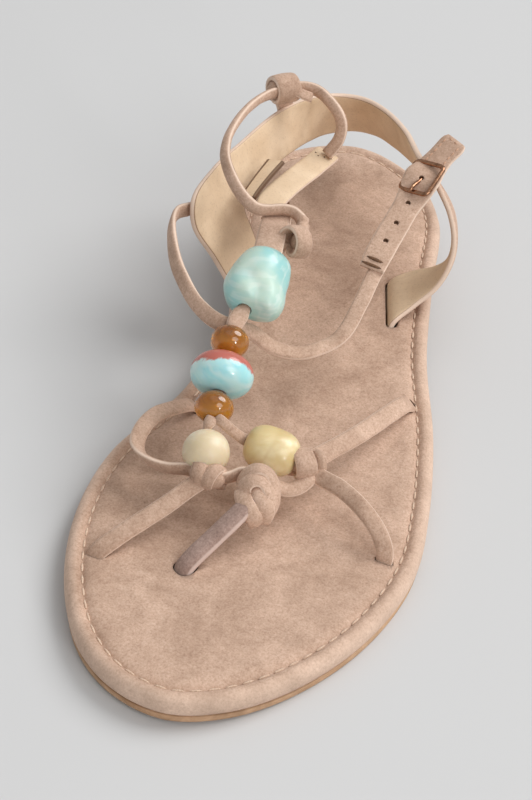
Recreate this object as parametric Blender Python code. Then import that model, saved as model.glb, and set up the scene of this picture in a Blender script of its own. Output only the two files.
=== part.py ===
"""Left sandal with a beaded front: sole, footbed, knotted suede straps, heel band, beads and buckles.

Sizes are in millimetres and become metres when a mesh is made. The origin is on the floor under the middle
of the sole. The toe points along -Y, +X is the lateral side and +Z is up.
"""
import math

import bmesh
import bpy
import numpy as np
from mathutils import Matrix, Vector

MM = 0.001
GAP = 0.3
MERGE_DISTANCE = 0.001

# Sole
SOLE_LENGTH = 250.0
HEEL_LIFT = 7.5
HEEL_SEAT_END = 62.0
HEEL_BREAST = 60.0
BALL_TREAD_START = 158.0
BALL_TREAD_END = 226.0
TOE_SPRING = 1.2
OUTSOLE_THICKNESS = 2.2
SOLE_STATIONS = 36
HEEL_STATIONS = 14

# Outline of the footbed: distance from the heel back, medial edge, lateral edge
SOLE_OUTLINE = (
    (12.0, -28.2, 16.3),
    (35.0, -35.1, 28.3),
    (70.0, -32.4, 31.4),
    (105.0, -25.6, 35.2),
    (135.0, -30.8, 41.9),
    (165.0, -43.2, 45.3),
    (190.0, -45.6, 44.9),
    (215.0, -41.2, 36.1),
    (235.0, -31.6, 21.6),
    (246.0, -19.4, 7.6),
)
HEEL_TIP_X = -5.4
TOE_TIP_X = -5.6

# Edge profiles: inset from the outline, height above the piece's own underside
FOOTBED_PROFILE = (
    (1.0, 0.0),
    (0.0, 1.6),
    (0.0, 3.4),
    (0.8, 4.9),
    (2.4, 5.8),
    (3.8, 5.3),
    (4.6, 4.5),
    (5.6, 5.1),
    (9.0, 5.5),
)
OUTSOLE_PROFILE = ((1.1, 0.0), (0.5, 0.5), (0.5, OUTSOLE_THICKNESS - GAP))
HEEL_PROFILE = ((3.4, 0.0), (2.8, 0.6), (1.9, HEEL_LIFT - GAP))

# Straps
LACE_WIDTH = 4.6
LACE_THICKNESS = 1.9
POST_DIAMETER = 4.4
CORD_DIAMETER = 2.6
COLUMN_CORD_DIAMETER = 3.2
RING_CORD = (4.0, 3.0)
BILLET_WIDTH = 8.2
BAND_THICKNESS = 2.0
RING_SPACING = 4.2
EDGE_EASE = 0.32
CORD_FACING = (0.2, 0.1, 1.0)
POCKET_RINGS = 5

# Routes of the laces: x, y, z, lean of the lace's face from upright
MEDIAL_ARM = (
    (0.5, -57.5, 21.5, 20),
    (-3.0, -55.8, 20.5, 25),
    (-6.8, -56.2, 19.0, 30),
    (-10.4, -57.2, 19.0, 30),
    (-13.0, -57.0, 19.5, 20),
)
MEDIAL_FRONT_LEG = (
    (-12.6, -57.4, 19.6, 0),
    (-21.9, -67.9, 15.0, 0),
    (-31.1, -77.2, 10.6, 0),
    (-34.9, -81.2, 8.0, 0),
    (-36.6, -83.2, 5.4, 0),
)
MEDIAL_LOOP_LEG = (
    (-12.8, -56.2, 19.8, -20),
    (-17.5, -55.3, 19.0, -40),
    (-24.0, -55.6, 18.0, -50),
    (-29.4, -54.2, 18.0, -55),
    (-33.1, -50.8, 18.5, -60),
    (-34.2, -44.3, 18.5, -60),
    (-32.6, -36.3, 18.0, -55),
    (-29.0, -28.9, 15.6, -45),
    (-25.9, -20.0, 10.2, -30),
    (-24.8, -16.4, 5.9, -20),
)
LATERAL_ARM = (
    (2.2, -58.5, 20.5, 0),
    (4.7, -54.4, 18.0, 0),
    (7.9, -53.6, 16.2, 0),
    (11.0, -51.2, 16.2, 0),
    (12.4, -48.0, 18.0, 0),
    (11.0, -45.4, 19.6, 0),
)
LATERAL_REAR_LEG = (
    (11.6, -45.2, 19.8, 0),
    (21.8, -27.6, 17.0, 0),
    (29.0, -11.9, 14.2, 0),
    (32.2, -4.0, 11.8, 0),
    (33.2, -0.6, 9.0, 0),
    (33.6, 1.2, 5.8, 0),
)
LATERAL_FRONT_LEG = (
    (12.0, -45.8, 18.8, 0),
    (16.0, -48.2, 18.4, 0),
    (21.4, -51.4, 19.0, 0),
    (28.1, -56.0, 17.8, 0),
    (33.6, -59.5, 14.0, 0),
    (36.2, -62.2, 10.2, 0),
    (36.8, -64.2, 5.2, 0),
)
MEDIAL_INSTEP_STRAP = (
    (-17.6, -14.4, 39.0, -20),
    (-20.4, -14.6, 37.4, -40),
    (-26.7, -10.2, 37.0, -55),
    (-32.7, -3.2, 38.0, -60),
    (-38.1, 5.5, 39.5, -65),
    (-42.0, 15.1, 41.0, -75),
    (-43.6, 22.2, 41.8, -80),
    (-43.2, 26.8, 41.8, -85),
    (-40.7, 30.4, 41.2, -85),
)
# Billet from the bead column to its free end: x, y, z, lean, width
BILLET = (
    (-17.4, -14.2, 38.6, 20, LACE_WIDTH),
    (-12.1, -10.9, 33.2, 15, LACE_WIDTH),
    (-6.5, -9.7, 28.2, 10, LACE_WIDTH),
    (0.5, -6.6, 25.0, 0, LACE_WIDTH),
    (7.0, -0.3, 24.0, -10, LACE_WIDTH),
    (10.6, 5.4, 25.0, -10, LACE_WIDTH),
    (13.4, 17.4, 29.4, -5, LACE_WIDTH),
    (14.6, 25.4, 34.0, 0, 7.0),
    (17.1, 35.2, 38.5, 0, BILLET_WIDTH),
    (19.0, 41.8, 41.5, 0, BILLET_WIDTH),
    (21.4, 49.2, 44.7, 0, BILLET_WIDTH),
    (24.4, 58.0, 48.6, 0, BILLET_WIDTH),
    (27.4, 64.4, 52.0, 5, BILLET_WIDTH),
    (31.0, 69.6, 55.4, 10, BILLET_WIDTH),
)

# Round cords: x, y, z
TOE_POST = (
    (-14.4, -82.6, 5.6),
    (-12.3, -79.9, 8.2),
    (-7.0, -72.9, 13.2),
    (-1.2, -65.4, 18.6),
    (1.6, -61.4, 21.2),
)
# Cords through the beads: places before the beads, beads threaded, places after them, diameter
CORDS = (
    (((-12.4, -57.8, 19.3),), ("bead_cream_medial",), ((-15.6, -44.0, 25.8),), CORD_DIAMETER),
    (
        ((11.6, -45.8, 20.3),),
        ("bead_cream_lateral",),
        ((-10.4, -43.6, 23.4), (-14.8, -44.0, 25.9)),
        CORD_DIAMETER,
    ),
    (
        ((-15.0, -44.6, 25.9),),
        ("bead_amber_lower", "bead_banded", "bead_amber_upper", "bead_nugget"),
        ((-13.5, 13.6, 43.0),),
        COLUMN_CORD_DIAMETER,
    ),
)
THREAD_SHARES = (-0.5, -0.17, 0.17, 0.5)

# Wound knots: centre, axis, radius of the wrap's middle, rise per turn, turns, core's length and diameter
WOUND_KNOTS = (
    ((1.7, -61.0, 21.3), (-0.12, 0.93, 0.34), 3.7, 4.9, 1.9, 13.0, 6.6),
    ((-12.7, -56.9, 19.6), (0.95, -0.25, -0.05), 2.5, 3.4, 1.5, 6.4, 4.4),
    ((11.4, -45.4, 19.6), (0.86, 0.48, -0.1), 2.6, 3.4, 1.5, 6.4, 4.6),
)
# Plain knots: centre, axis, length, diameter
CROSSING_KNOT = ((-17.3, -14.4, 38.9), (0.2, 0.95, 0.2), 4.6, 6.0)
MEETING_KNOT = ((-15.2, -44.6, 25.8), (0.1, 0.9, 0.42), 3.2, 4.0)
COLUMN_KNOT = ((-13.5, 14.8, 43.2), (0.05, 0.95, 0.25), 5.0, 3.8)
# Share of a plain knot's length, share of its diameter
KNOT_PROFILE = ((-0.5, 0.55), (-0.36, 0.9), (0.0, 1.0), (0.36, 0.9), (0.5, 0.55))

# Heel band from the lateral slot round the back to the medial slot: upper or front edge, lower or back edge
HEEL_BAND = (
    ((22.4, 28.6, 10.4), (18.6, 48.6, 12.0)),
    ((22.8, 29.4, 13.6), (19.2, 49.6, 15.4)),
    ((28.2, 35.4, 17.6), (25.0, 52.0, 18.4)),
    ((33.7, 39.4, 23.0), (31.2, 51.6, 21.6)),
    ((36.3, 42.8, 30.0), (35.4, 51.6, 25.6)),
    ((36.3, 46.0, 36.0), (36.0, 52.6, 31.6)),
    ((33.6, 50.6, 42.0), (34.2, 57.6, 37.0)),
    ((29.6, 55.4, 46.0), (30.4, 64.0, 39.6)),
    ((25.3, 61.5, 48.2), (24.6, 73.6, 39.6)),
    ((20.6, 69.6, 48.2), (18.6, 83.6, 37.2)),
    ((14.2, 84.5, 47.5), (10.4, 98.2, 33.0)),
    ((5.7, 96.8, 46.5), (2.2, 109.4, 29.6)),
    ((-2.5, 103.5, 45.5), (-6.6, 113.6, 27.2)),
    ((-10.5, 103.1, 45.6), (-13.6, 108.0, 27.8)),
    ((-18.4, 95.6, 47.2), (-17.6, 96.6, 30.6)),
    ((-25.8, 80.6, 48.8), (-21.4, 81.6, 33.6)),
    ((-32.3, 58.7, 49.5), (-25.0, 63.6, 36.4)),
    ((-36.9, 42.0, 49.2), (-28.2, 50.6, 36.2)),
    ((-39.6, 29.0, 46.0), (-27.8, 46.8, 33.4)),
    ((-38.4, 25.8, 38.6), (-25.6, 46.8, 28.0)),
    ((-31.6, 25.2, 28.8), (-23.4, 46.6, 22.2)),
    ((-24.6, 23.8, 18.6), (-21.2, 45.0, 17.6)),
    ((-21.4, 23.2, 13.0), (-20.4, 44.2, 14.6)),
    ((-20.8, 23.0, 9.6), (-20.2, 44.0, 11.4)),
)
BAND_STATIONS = 58
BAND_POCKET_RINGS = 4
TAB_LOOP = ((-24.0, 82.0, 55.6), (0.74, 0.66, -0.04), 9.0, 9.2)
TAB_NECK = ((-19.8, 91.0, 43.6, 0), (-21.6, 88.0, 48.4, 0), (-23.0, 84.6, 53.2, 0))
TAB_NECK_WIDTH = 7.0
TAB_SPACING = 2.0

# Ankle ring: x, y, z
ANKLE_RING = (
    (-12.6, 28.8, 45.8),
    (-17.0, 28.1, 46.5),
    (-20.6, 27.6, 47.5),
    (-24.7, 28.6, 50.0),
    (-28.7, 31.7, 53.0),
    (-32.3, 37.3, 56.0),
    (-33.5, 43.1, 58.0),
    (-33.2, 50.6, 59.0),
    (-31.5, 63.9, 58.5),
    (-28.2, 75.4, 57.0),
    (-24.0, 81.8, 55.8),
    (-19.6, 85.6, 55.8),
    (-15.2, 85.6, 55.6),
    (-10.0, 82.2, 54.5),
    (-6.3, 79.3, 52.0),
    (-4.9, 78.2, 48.5),
    (-5.4, 76.8, 44.5),
    (-8.2, 75.0, 40.0),
)
BACK_STRAP = (
    (-8.6, 78.4, 38.2, 0),
    (-11.6, 67.6, 39.2, 0),
    (-16.6, 49.6, 41.4, 0),
    (-18.6, 37.6, 43.0, 0),
    (-16.2, 31.0, 43.8, 0),
    (-13.4, 26.2, 44.2, 0),
)
BACK_STRAP_WIDTH = 8.0
STRAP_END = (
    (-19.6, 36.4, 43.4, -50),
    (-24.6, 39.4, 44.2, -60),
    (-25.4, 47.0, 45.2, -65),
    (-24.2, 56.6, 46.4, -65),
)
STRAP_END_WIDTH = 6.0
COLUMN_LOOP = (
    (-13.6, 11.3, 45.8),
    (-13.6, 18.6, 48.4),
    (-13.0, 25.4, 49.6),
    (-12.4, 30.6, 48.6),
    (-12.2, 32.0, 45.8),
    (-12.6, 29.6, 43.2),
    (-13.4, 24.0, 41.8),
    (-13.6, 16.4, 39.9),
)
COLUMN_LOOP_WIDTH = 7.4
COLUMN_LOOP_SPACING = 2.6
SIDE_CURL = ((-6.6, 19.4, 45.0), (0.72, 0.62, -0.3), 3.9, 3.0, 1.15)
SIDE_CURL_WIDTH = 5.6

# Beads: finish, centre, axis along the cord, length, diameter, diameter of the cord
BEADS = {
    "bead_cream_medial": (
        "cream_stone", (-14.5, -51.3, 22.0), (-0.30, 0.88, 0.37), 11.6, 12.6, CORD_DIAMETER),
    "bead_cream_lateral": (
        "cream_stone", (1.8, -44.8, 21.6), (-0.99, 0.10, 0.13), 14.4, 12.4, CORD_DIAMETER),
    "bead_amber_lower": (
        "amber_stone", (-15.6, -39.2, 28.4), (-0.11, 0.90, 0.42), 8.2, 10.2, COLUMN_CORD_DIAMETER),
    "bead_banded": (
        "turquoise_stone", (-16.7, -29.6, 32.9), (-0.11, 0.90, 0.42), 12.0, 17.0, COLUMN_CORD_DIAMETER),
    "bead_amber_upper": (
        "amber_stone", (-17.7, -20.0, 37.1), (-0.08, 0.92, 0.39), 8.2, 10.2, COLUMN_CORD_DIAMETER),
    "bead_nugget": (
        "turquoise_stone", (-14.3, 0.0, 41.3), (0.10, 0.98, 0.15), 21.6, 17.6, COLUMN_CORD_DIAMETER),
}
BEAD_SIDES = 14
BEAD_ROWS = 9
BORE_CLEARANCE = 0.6
BEAD_GAP = 0.35
# Lobes of the nugget: lobes in a turn, turn per millimetre of length, start
NUGGET_LOBES = ((3, 0.16, 0.0), (2, 0.0, -0.6))
NUGGET_SWELL = 0.05

# Buckles on the billet and under the ankle strap: centre, direction along the strap, direction across it
BUCKLES = {
    "buckle": ((23.4, 55.6, 49.7), (0.31, 0.86, 0.40), (0.94, -0.34, 0.0)),
    "ankle_buckle": ((-17.9, 42.0, 39.5), (0.16, 0.98, -0.13), (-0.98, 0.16, 0.0)),
}
BUCKLE_LENGTH = 12.6
BUCKLE_WIDTH = 11.0
BUCKLE_BAR = 1.6
BUCKLE_BEND = 1.6
PRONG_BAR = 1.2
PRONG_REACH = 1.12
CORNER_STEPS = 2
BAR_SIDES = 6

# Colours, roughness, metallic
FINISHES = {
    "suede": ((0.560, 0.400, 0.300, 1.0), 0.95, 0.0),
    "post_suede": ((0.380, 0.290, 0.270, 1.0), 0.95, 0.0),
    "tan_sole": ((0.560, 0.350, 0.200, 1.0), 0.7, 0.0),
    "brown_heel": ((0.340, 0.180, 0.090, 1.0), 0.6, 0.0),
    "cream_stone": ((0.800, 0.720, 0.400, 1.0), 0.25, 0.0),
    "amber_stone": ((0.340, 0.120, 0.010, 1.0), 0.15, 0.0),
    "turquoise_stone": ((0.330, 0.650, 0.640, 1.0), 0.2, 0.0),
    "copper": ((0.700, 0.400, 0.270, 1.0), 0.25, 1.0),
}


def clear_scene():
    """Remove every object that the file holds."""
    for item in list(bpy.data.objects):
        bpy.data.objects.remove(item, do_unlink=True)


def finish(name):
    """Principled material of one finish, made once."""
    if name in bpy.data.materials:
        return bpy.data.materials[name]
    colour, roughness, metallic = FINISHES[name]
    material = bpy.data.materials.new(name)
    material.use_nodes = True
    shader = material.node_tree.nodes["Principled BSDF"]
    shader.inputs["Base Color"].default_value = colour
    shader.inputs["Roughness"].default_value = roughness
    shader.inputs["Metallic"].default_value = metallic
    return material


def add_object(name, shape, material_name=None):
    """Turn a bmesh in millimetres into an object in metres."""
    bmesh.ops.scale(shape, vec=(MM, MM, MM), verts=shape.verts)
    bmesh.ops.recalc_face_normals(shape, faces=shape.faces)
    mesh = bpy.data.meshes.new(name)
    shape.to_mesh(mesh)
    shape.free()
    item = bpy.data.objects.new(name, mesh)
    bpy.context.scene.collection.objects.link(item)
    if material_name:
        mesh.materials.append(finish(material_name))
        mesh.shade_smooth()
        mesh.set_sharp_from_angle(angle=math.radians(40))
    return item


def combine(target, shapes, operation):
    """Join shapes to an object, or cut them out of it, with one Boolean over a collection of helpers."""
    label = f"{target.name}_{operation.lower()}_{len(target.modifiers)}"
    group = bpy.data.collections.new(label)
    bpy.context.scene.collection.children.link(group)
    for number, shape in enumerate(shapes):
        helper = add_object(f"{label}_{number}", shape)
        bpy.context.scene.collection.objects.unlink(helper)
        group.objects.link(helper)
        helper.hide_render = True
        helper.display_type = "WIRE"
    modifier = target.modifiers.new(label, "BOOLEAN")
    modifier.operation = operation
    modifier.operand_type = "COLLECTION"
    modifier.collection = group
    modifier.solver = "EXACT"
    modifier.use_self = True


def smooth_rows(rows, count, closed=False, steps=16):
    """Rows spaced evenly along a smooth curve through the given rows, with their further columns."""
    table = np.array(rows, dtype=float)
    if closed:
        table = np.vstack([table[-1:], table, table[:2]])
    spans = np.sqrt(np.linalg.norm(np.diff(table[:, :3], axis=0), axis=1))
    knots = np.concatenate([[0.0], np.cumsum(spans)])
    slopes = np.gradient(table, knots, axis=0)
    first, last = (1, len(table) - 2) if closed else (0, len(table) - 1)
    dense = []
    for leg in range(first, last):
        span = knots[leg + 1] - knots[leg]
        for step in range(steps):
            u = step / steps
            dense.append(
                (2 * u**3 - 3 * u**2 + 1) * table[leg]
                + (u**3 - 2 * u**2 + u) * span * slopes[leg]
                + (3 * u**2 - 2 * u**3) * table[leg + 1]
                + (u**3 - u**2) * span * slopes[leg + 1]
            )
    dense.append(table[last])
    dense = np.array(dense)
    reach = np.concatenate([[0.0], np.cumsum(np.linalg.norm(np.diff(dense[:, :3], axis=0), axis=1))])
    places = np.linspace(0.0, reach[-1], count)
    return np.column_stack([np.interp(places, reach, dense[:, column]) for column in range(dense.shape[1])])


def route_count(rows, spacing=RING_SPACING):
    """Number of rings that puts one about every spacing along a route."""
    places = np.array(rows, dtype=float)[:, :3]
    return max(4, round(np.linalg.norm(np.diff(places, axis=0), axis=1).sum() / spacing) + 1)


def directions(places):
    """Unit directions along a row of places."""
    slopes = np.gradient(np.array(places, dtype=float), axis=0)
    return slopes / np.linalg.norm(slopes, axis=1)[:, None]


def lace_ring(centre, side, face, width, thickness):
    """Eight corners of a flat lace's section with its edges eased."""
    ease = EDGE_EASE * thickness
    half_width, half_depth = width / 2, thickness / 2
    corners = (
        (half_width, half_depth - ease),
        (half_width - ease, half_depth),
        (ease - half_width, half_depth),
        (-half_width, half_depth - ease),
        (-half_width, ease - half_depth),
        (ease - half_width, -half_depth),
        (half_width - ease, -half_depth),
        (half_width, ease - half_depth),
    )
    return [Vector(centre) + Vector(side) * u + Vector(face) * v for u, v in corners]


def round_ring(centre, side, face, diameter, sides=8):
    """Corners of a round section."""
    turns = [2 * math.pi * (step + 0.5) / sides for step in range(sides)]
    return [
        Vector(centre) + (Vector(side) * math.cos(turn) + Vector(face) * math.sin(turn)) * diameter / 2
        for turn in turns
    ]


def loft(rings, closed=False):
    """Skin a row of rings, with end caps unless the row closes on itself."""
    shape = bmesh.new()
    loops = [[shape.verts.new(place) for place in ring] for ring in rings]
    pairs = list(zip(loops, loops[1:]))
    if closed:
        pairs.append((loops[-1], loops[0]))
    for near, far in pairs:
        for corner in range(len(near)):
            following = (corner + 1) % len(near)
            shape.faces.new((near[corner], near[following], far[following], far[corner]))
    if not closed:
        shape.faces.new(loops[0])
        shape.faces.new(loops[-1])
    return shape


def pocket_rings(rings, along, margin):
    """Last rings of a leg, with the end pushed on by the margin, to cut the pocket that it sits in."""
    return rings[-POCKET_RINGS:-1] + [[place + Vector(along) * margin for place in rings[-1]]]


def lace(rows, width=LACE_WIDTH, margin=0.0, spacing=RING_SPACING, pocket=False):
    """Flat lace along a route of x, y, z, lean and, where it varies, width; a margin makes it a cutter."""
    path = smooth_rows(rows, route_count(rows, spacing))
    ways = directions(path[:, :3])
    rings = []
    for row, along in zip(path, ways):
        along = Vector(along)
        upright = Vector((0, 0, 1))
        face = (upright - along * along.dot(upright)).normalized()
        face = Matrix.Rotation(math.radians(row[3]), 3, along) @ face
        wide = row[4] if len(row) > 4 else width
        ring = lace_ring(row[:3], along.cross(face), face, wide + 2 * margin, LACE_THICKNESS + 2 * margin)
        rings.append(ring)
    return loft(pocket_rings(rings, ways[-1], margin) if pocket else rings)


def cord(rows, diameter, margin=0.0, pocket=False):
    """Round cord along a route of x, y, z."""
    path = smooth_rows(rows, route_count(rows))
    ways = directions(path)
    rings = []
    for place, along in zip(path, ways):
        along = Vector(along)
        facing = Vector(CORD_FACING)
        face = (facing - along * along.dot(facing)).normalized()
        rings.append(round_ring(place, along.cross(face), face, diameter + 2 * margin))
    return loft(pocket_rings(rings, ways[-1], margin) if pocket else rings)


def ring_lace(rows, width, thickness, margin=0.0, spacing=RING_SPACING):
    """Lace that runs round a loop, with its flat side facing away from the middle of the route."""
    path = smooth_rows(rows, route_count(rows, spacing))
    middle = path[:, :3].mean(axis=0)
    rings = []
    for place, along in zip(path, directions(path)):
        along = Vector(along)
        outward = Vector(place - middle)
        face = (outward - along * along.dot(outward)).normalized()
        side = along.cross(face)
        rings.append(lace_ring(place, side, face, width + 2 * margin, thickness + 2 * margin))
    return loft(rings)


def wrap(centre, axis, radius, rise, turns, width=LACE_WIDTH, thickness=LACE_THICKNESS, per_turn=10):
    """Lace wound round an axis, as in a knot."""
    axis = Vector(axis).normalized()
    first = axis.orthogonal().normalized()
    second = axis.cross(first)
    count = round(per_turn * turns) + 1
    places = []
    outwards = []
    for step in range(count):
        turn = 2 * math.pi * turns * step / (count - 1)
        outward = first * math.cos(turn) + second * math.sin(turn)
        climb = rise * turns * (step / (count - 1) - 0.5)
        places.append(Vector(centre) + axis * climb + outward * radius)
        outwards.append(outward)
    rings = []
    for place, along, face in zip(places, directions(places), outwards):
        along = Vector(along)
        face = (face - along * along.dot(face)).normalized()
        rings.append(lace_ring(place, along.cross(face), face, width, thickness))
    return loft(rings)


def knot_core(centre, axis, length, diameter):
    """Short rounded rod, a plain knot or the core of a wound one."""
    axis = Vector(axis).normalized()
    face = axis.orthogonal().normalized()
    side = axis.cross(face)
    rings = []
    for step, size in KNOT_PROFILE:
        rings.append(round_ring(Vector(centre) + axis * length * step, side, face, diameter * size))
    return loft(rings)


def ease_between(low, high, value):
    """Smooth step from 0 at low to 1 at high."""
    share = min(1.0, max(0.0, (value - low) / (high - low)))
    return share * share * (3 - 2 * share)


def tread_height(y):
    """Height of the outsole's underside: heel seat, arch, flat ball and toe spring."""
    from_heel = SOLE_LENGTH / 2 - y
    arch = HEEL_LIFT * (1 - ease_between(HEEL_SEAT_END, BALL_TREAD_START, from_heel))
    spring = max(0.0, (from_heel - BALL_TREAD_END) / (SOLE_LENGTH - BALL_TREAD_END))
    return arch + TOE_SPRING * spring**2


def sole_edges():
    """Medial and lateral edges of the sole as dense rows of places from heel to toe."""
    middle = SOLE_LENGTH / 2
    heel = [(HEEL_TIP_X, middle, 0.0)]
    toe = [(TOE_TIP_X, -middle, 0.0)]
    medial = [(edge, middle - station, 0.0) for station, edge, _ in SOLE_OUTLINE]
    lateral = [(edge, middle - station, 0.0) for station, _, edge in SOLE_OUTLINE]
    loop = smooth_rows(heel + medial + toe + lateral[::-1], 1601, closed=True)
    tip = int(np.argmin(loop[:, 1]))
    return {"medial": loop[: tip + 1], "lateral": loop[tip:][::-1]}


EDGES = sole_edges()


def edge_place(side, from_heel, inset):
    """Place on the sole's edge at a distance from the heel, moved inwards by the inset."""
    edge = EDGES[side]
    outwards = directions(edge)
    turn = 1.0 if side == "medial" else -1.0
    index = int(np.searchsorted(SOLE_LENGTH / 2 - edge[:, 1], from_heel))
    index = min(max(index, 1), len(edge) - 1)
    span = edge[index - 1, 1] - edge[index, 1]
    share = (edge[index - 1, 1] - (SOLE_LENGTH / 2 - from_heel)) / max(span, 1e-9)
    share = min(1.0, max(0.0, share))
    place = edge[index - 1] * (1 - share) + edge[index] * share
    along = outwards[index - 1] * (1 - share) + outwards[index] * share
    inward = np.array((-along[1], along[0])) * turn
    inward = inward / np.linalg.norm(inward)
    return place[0] + inward[0] * inset, place[1] + inward[1] * inset


def sole_ring(stations, inset, height, follow, toe_end=True):
    """Closed ring round the sole, by the medial side to the toe and back, over a base from follow."""
    flat = [edge_place("medial", station, inset) for station in stations]
    back = [edge_place("lateral", station, inset) for station in stations]
    places = flat + (back[-2:0:-1] if toe_end else back[:0:-1])
    return [Vector((x, y, follow(y) + height)) for x, y in places]


def sole_solid(stations, profile, follow, toe_end=True):
    """Solid from rings round the sole, closed above and below by strips from side to side."""
    rings = [sole_ring(stations, inset, height, follow, toe_end) for inset, height in profile]
    shape = bmesh.new()
    loops = [[shape.verts.new(place) for place in ring] for ring in rings]
    size = len(loops[0])
    for near, far in zip(loops, loops[1:]):
        for corner in range(size):
            following = (corner + 1) % size
            shape.faces.new((near[corner], near[following], far[following], far[corner]))
    for loop in (loops[0], loops[-1]):
        shape.faces.new((loop[0], loop[1], loop[-1]))
        for step in range(1, len(stations) - 1):
            corners = (loop[step], loop[step + 1], loop[-step - 1], loop[-step])
            shape.faces.new(tuple(dict.fromkeys(corners)))
    return shape


def cosine_stations(last, count, both_ends):
    """Distances from the heel, closer together at the round ends."""
    sweep = math.pi if both_ends else math.pi / 2
    full = 1 - math.cos(sweep)
    return [last * (1 - math.cos(sweep * step / count)) / full for step in range(count + 1)]


def make_outsole():
    """Thin sole with a flat ball tread, arch, heel seat and toe spring."""
    stations = cosine_stations(SOLE_LENGTH, SOLE_STATIONS, both_ends=True)
    add_object("outsole", sole_solid(stations, OUTSOLE_PROFILE, tread_height), "tan_sole")


def make_heel_block():
    """Low block under the heel seat with a straight breast."""
    stations = cosine_stations(HEEL_BREAST, HEEL_STATIONS, both_ends=False)
    add_object("heel_block", sole_solid(stations, HEEL_PROFILE, lambda y: 0.0, toe_end=False), "brown_heel")


def make_footbed():
    """Padded footbed with a rounded rim, a stitch groove and a pocket for each strap's end."""
    stations = cosine_stations(SOLE_LENGTH, SOLE_STATIONS, both_ends=True)
    base = sole_solid(stations, FOOTBED_PROFILE, lambda y: tread_height(y) + OUTSOLE_THICKNESS)
    footbed = add_object("footbed", base, "suede")
    legs = (MEDIAL_FRONT_LEG, MEDIAL_LOOP_LEG, LATERAL_REAR_LEG, LATERAL_FRONT_LEG)
    pockets = [lace(leg, margin=GAP, pocket=True) for leg in legs]
    pockets.append(cord(TOE_POST[::-1], POST_DIAMETER, margin=GAP, pocket=True))
    rings, along = band_rings(GAP)
    first = [[place - Vector(along[0]) * GAP for place in rings[0]]] + rings[1:BAND_POCKET_RINGS]
    last = rings[-BAND_POCKET_RINGS:-1] + [[place + Vector(along[-1]) * GAP for place in rings[-1]]]
    pockets += [loft(first), loft(last)]
    combine(footbed, pockets, "DIFFERENCE")


def band_rings(margin=0.0):
    """Rings of the heel band's wall, grown by a margin, and the directions along it."""
    path = smooth_rows([tuple(upper) + tuple(lower) for upper, lower in HEEL_BAND], BAND_STATIONS)
    middles = (path[:, :3] + path[:, 3:]) / 2
    along = directions(middles)
    rings = []
    for row, middle, way in zip(path, middles, along):
        across = Vector(row[:3] - row[3:])
        side = across.normalized()
        face = Vector(way).cross(side).normalized()
        rings.append(lace_ring(middle, side, face, across.length + 2 * margin, BAND_THICKNESS + 2 * margin))
    return rings, along


def threaded(before, names, after):
    """Route of a cord through the bores of the named beads."""
    rows = list(before)
    for name in names:
        _, centre, axis, length, _, _ = BEADS[name]
        axis = Vector(axis).normalized()
        rows += [tuple(Vector(centre) + axis * length * share) for share in THREAD_SHARES]
    return rows + list(after)


def make_upper_straps():
    """Toe post, knots, arms, legs, bead cords and instep straps as one solid, clear of the beads."""
    straps = add_object("upper_straps", cord(TOE_POST, POST_DIAMETER), "suede")
    pieces = [lace(rows) for rows in (MEDIAL_ARM, MEDIAL_FRONT_LEG, MEDIAL_LOOP_LEG)]
    pieces += [lace(rows) for rows in (LATERAL_ARM, LATERAL_REAR_LEG, LATERAL_FRONT_LEG)]
    pieces += [lace(MEDIAL_INSTEP_STRAP), lace(BILLET)]
    for centre, axis, radius, rise, turns, length, diameter in WOUND_KNOTS:
        pieces.append(wrap(centre, axis, radius, rise, turns))
        pieces.append(knot_core(centre, axis, length, diameter))
    pieces += [knot_core(*knot) for knot in (CROSSING_KNOT, MEETING_KNOT, COLUMN_KNOT)]
    combine(straps, pieces, "UNION")
    combine(straps, [bead_shape(name, margin=BEAD_GAP) for name in BEADS], "DIFFERENCE")
    combine(straps, [cord(threaded(*route), diameter) for *route, diameter in CORDS], "UNION")


def make_heel_band():
    """Heel band with its legs, its tab loop and the bore that the ankle ring runs through."""
    rings, _ = band_rings()
    heel_band = add_object("heel_band", loft(rings), "suede")
    neck = lace(TAB_NECK, width=TAB_NECK_WIDTH, spacing=TAB_SPACING)
    combine(heel_band, [neck, knot_core(*TAB_LOOP)], "UNION")
    combine(heel_band, [ring_lace(ANKLE_RING, *RING_CORD, margin=GAP)], "DIFFERENCE")


def make_ankle_strap():
    """Corded ring, its flat back strap with a free end, and the loop knotted over the bead column."""
    ring = add_object("ankle_strap", ring_lace(ANKLE_RING, *RING_CORD), "suede")
    pieces = [lace(BACK_STRAP, width=BACK_STRAP_WIDTH), lace(STRAP_END, width=STRAP_END_WIDTH)]
    pieces.append(ring_lace(COLUMN_LOOP, COLUMN_LOOP_WIDTH, LACE_THICKNESS, spacing=COLUMN_LOOP_SPACING))
    pieces.append(wrap(*SIDE_CURL, width=SIDE_CURL_WIDTH))
    combine(ring, pieces, "UNION")


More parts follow.
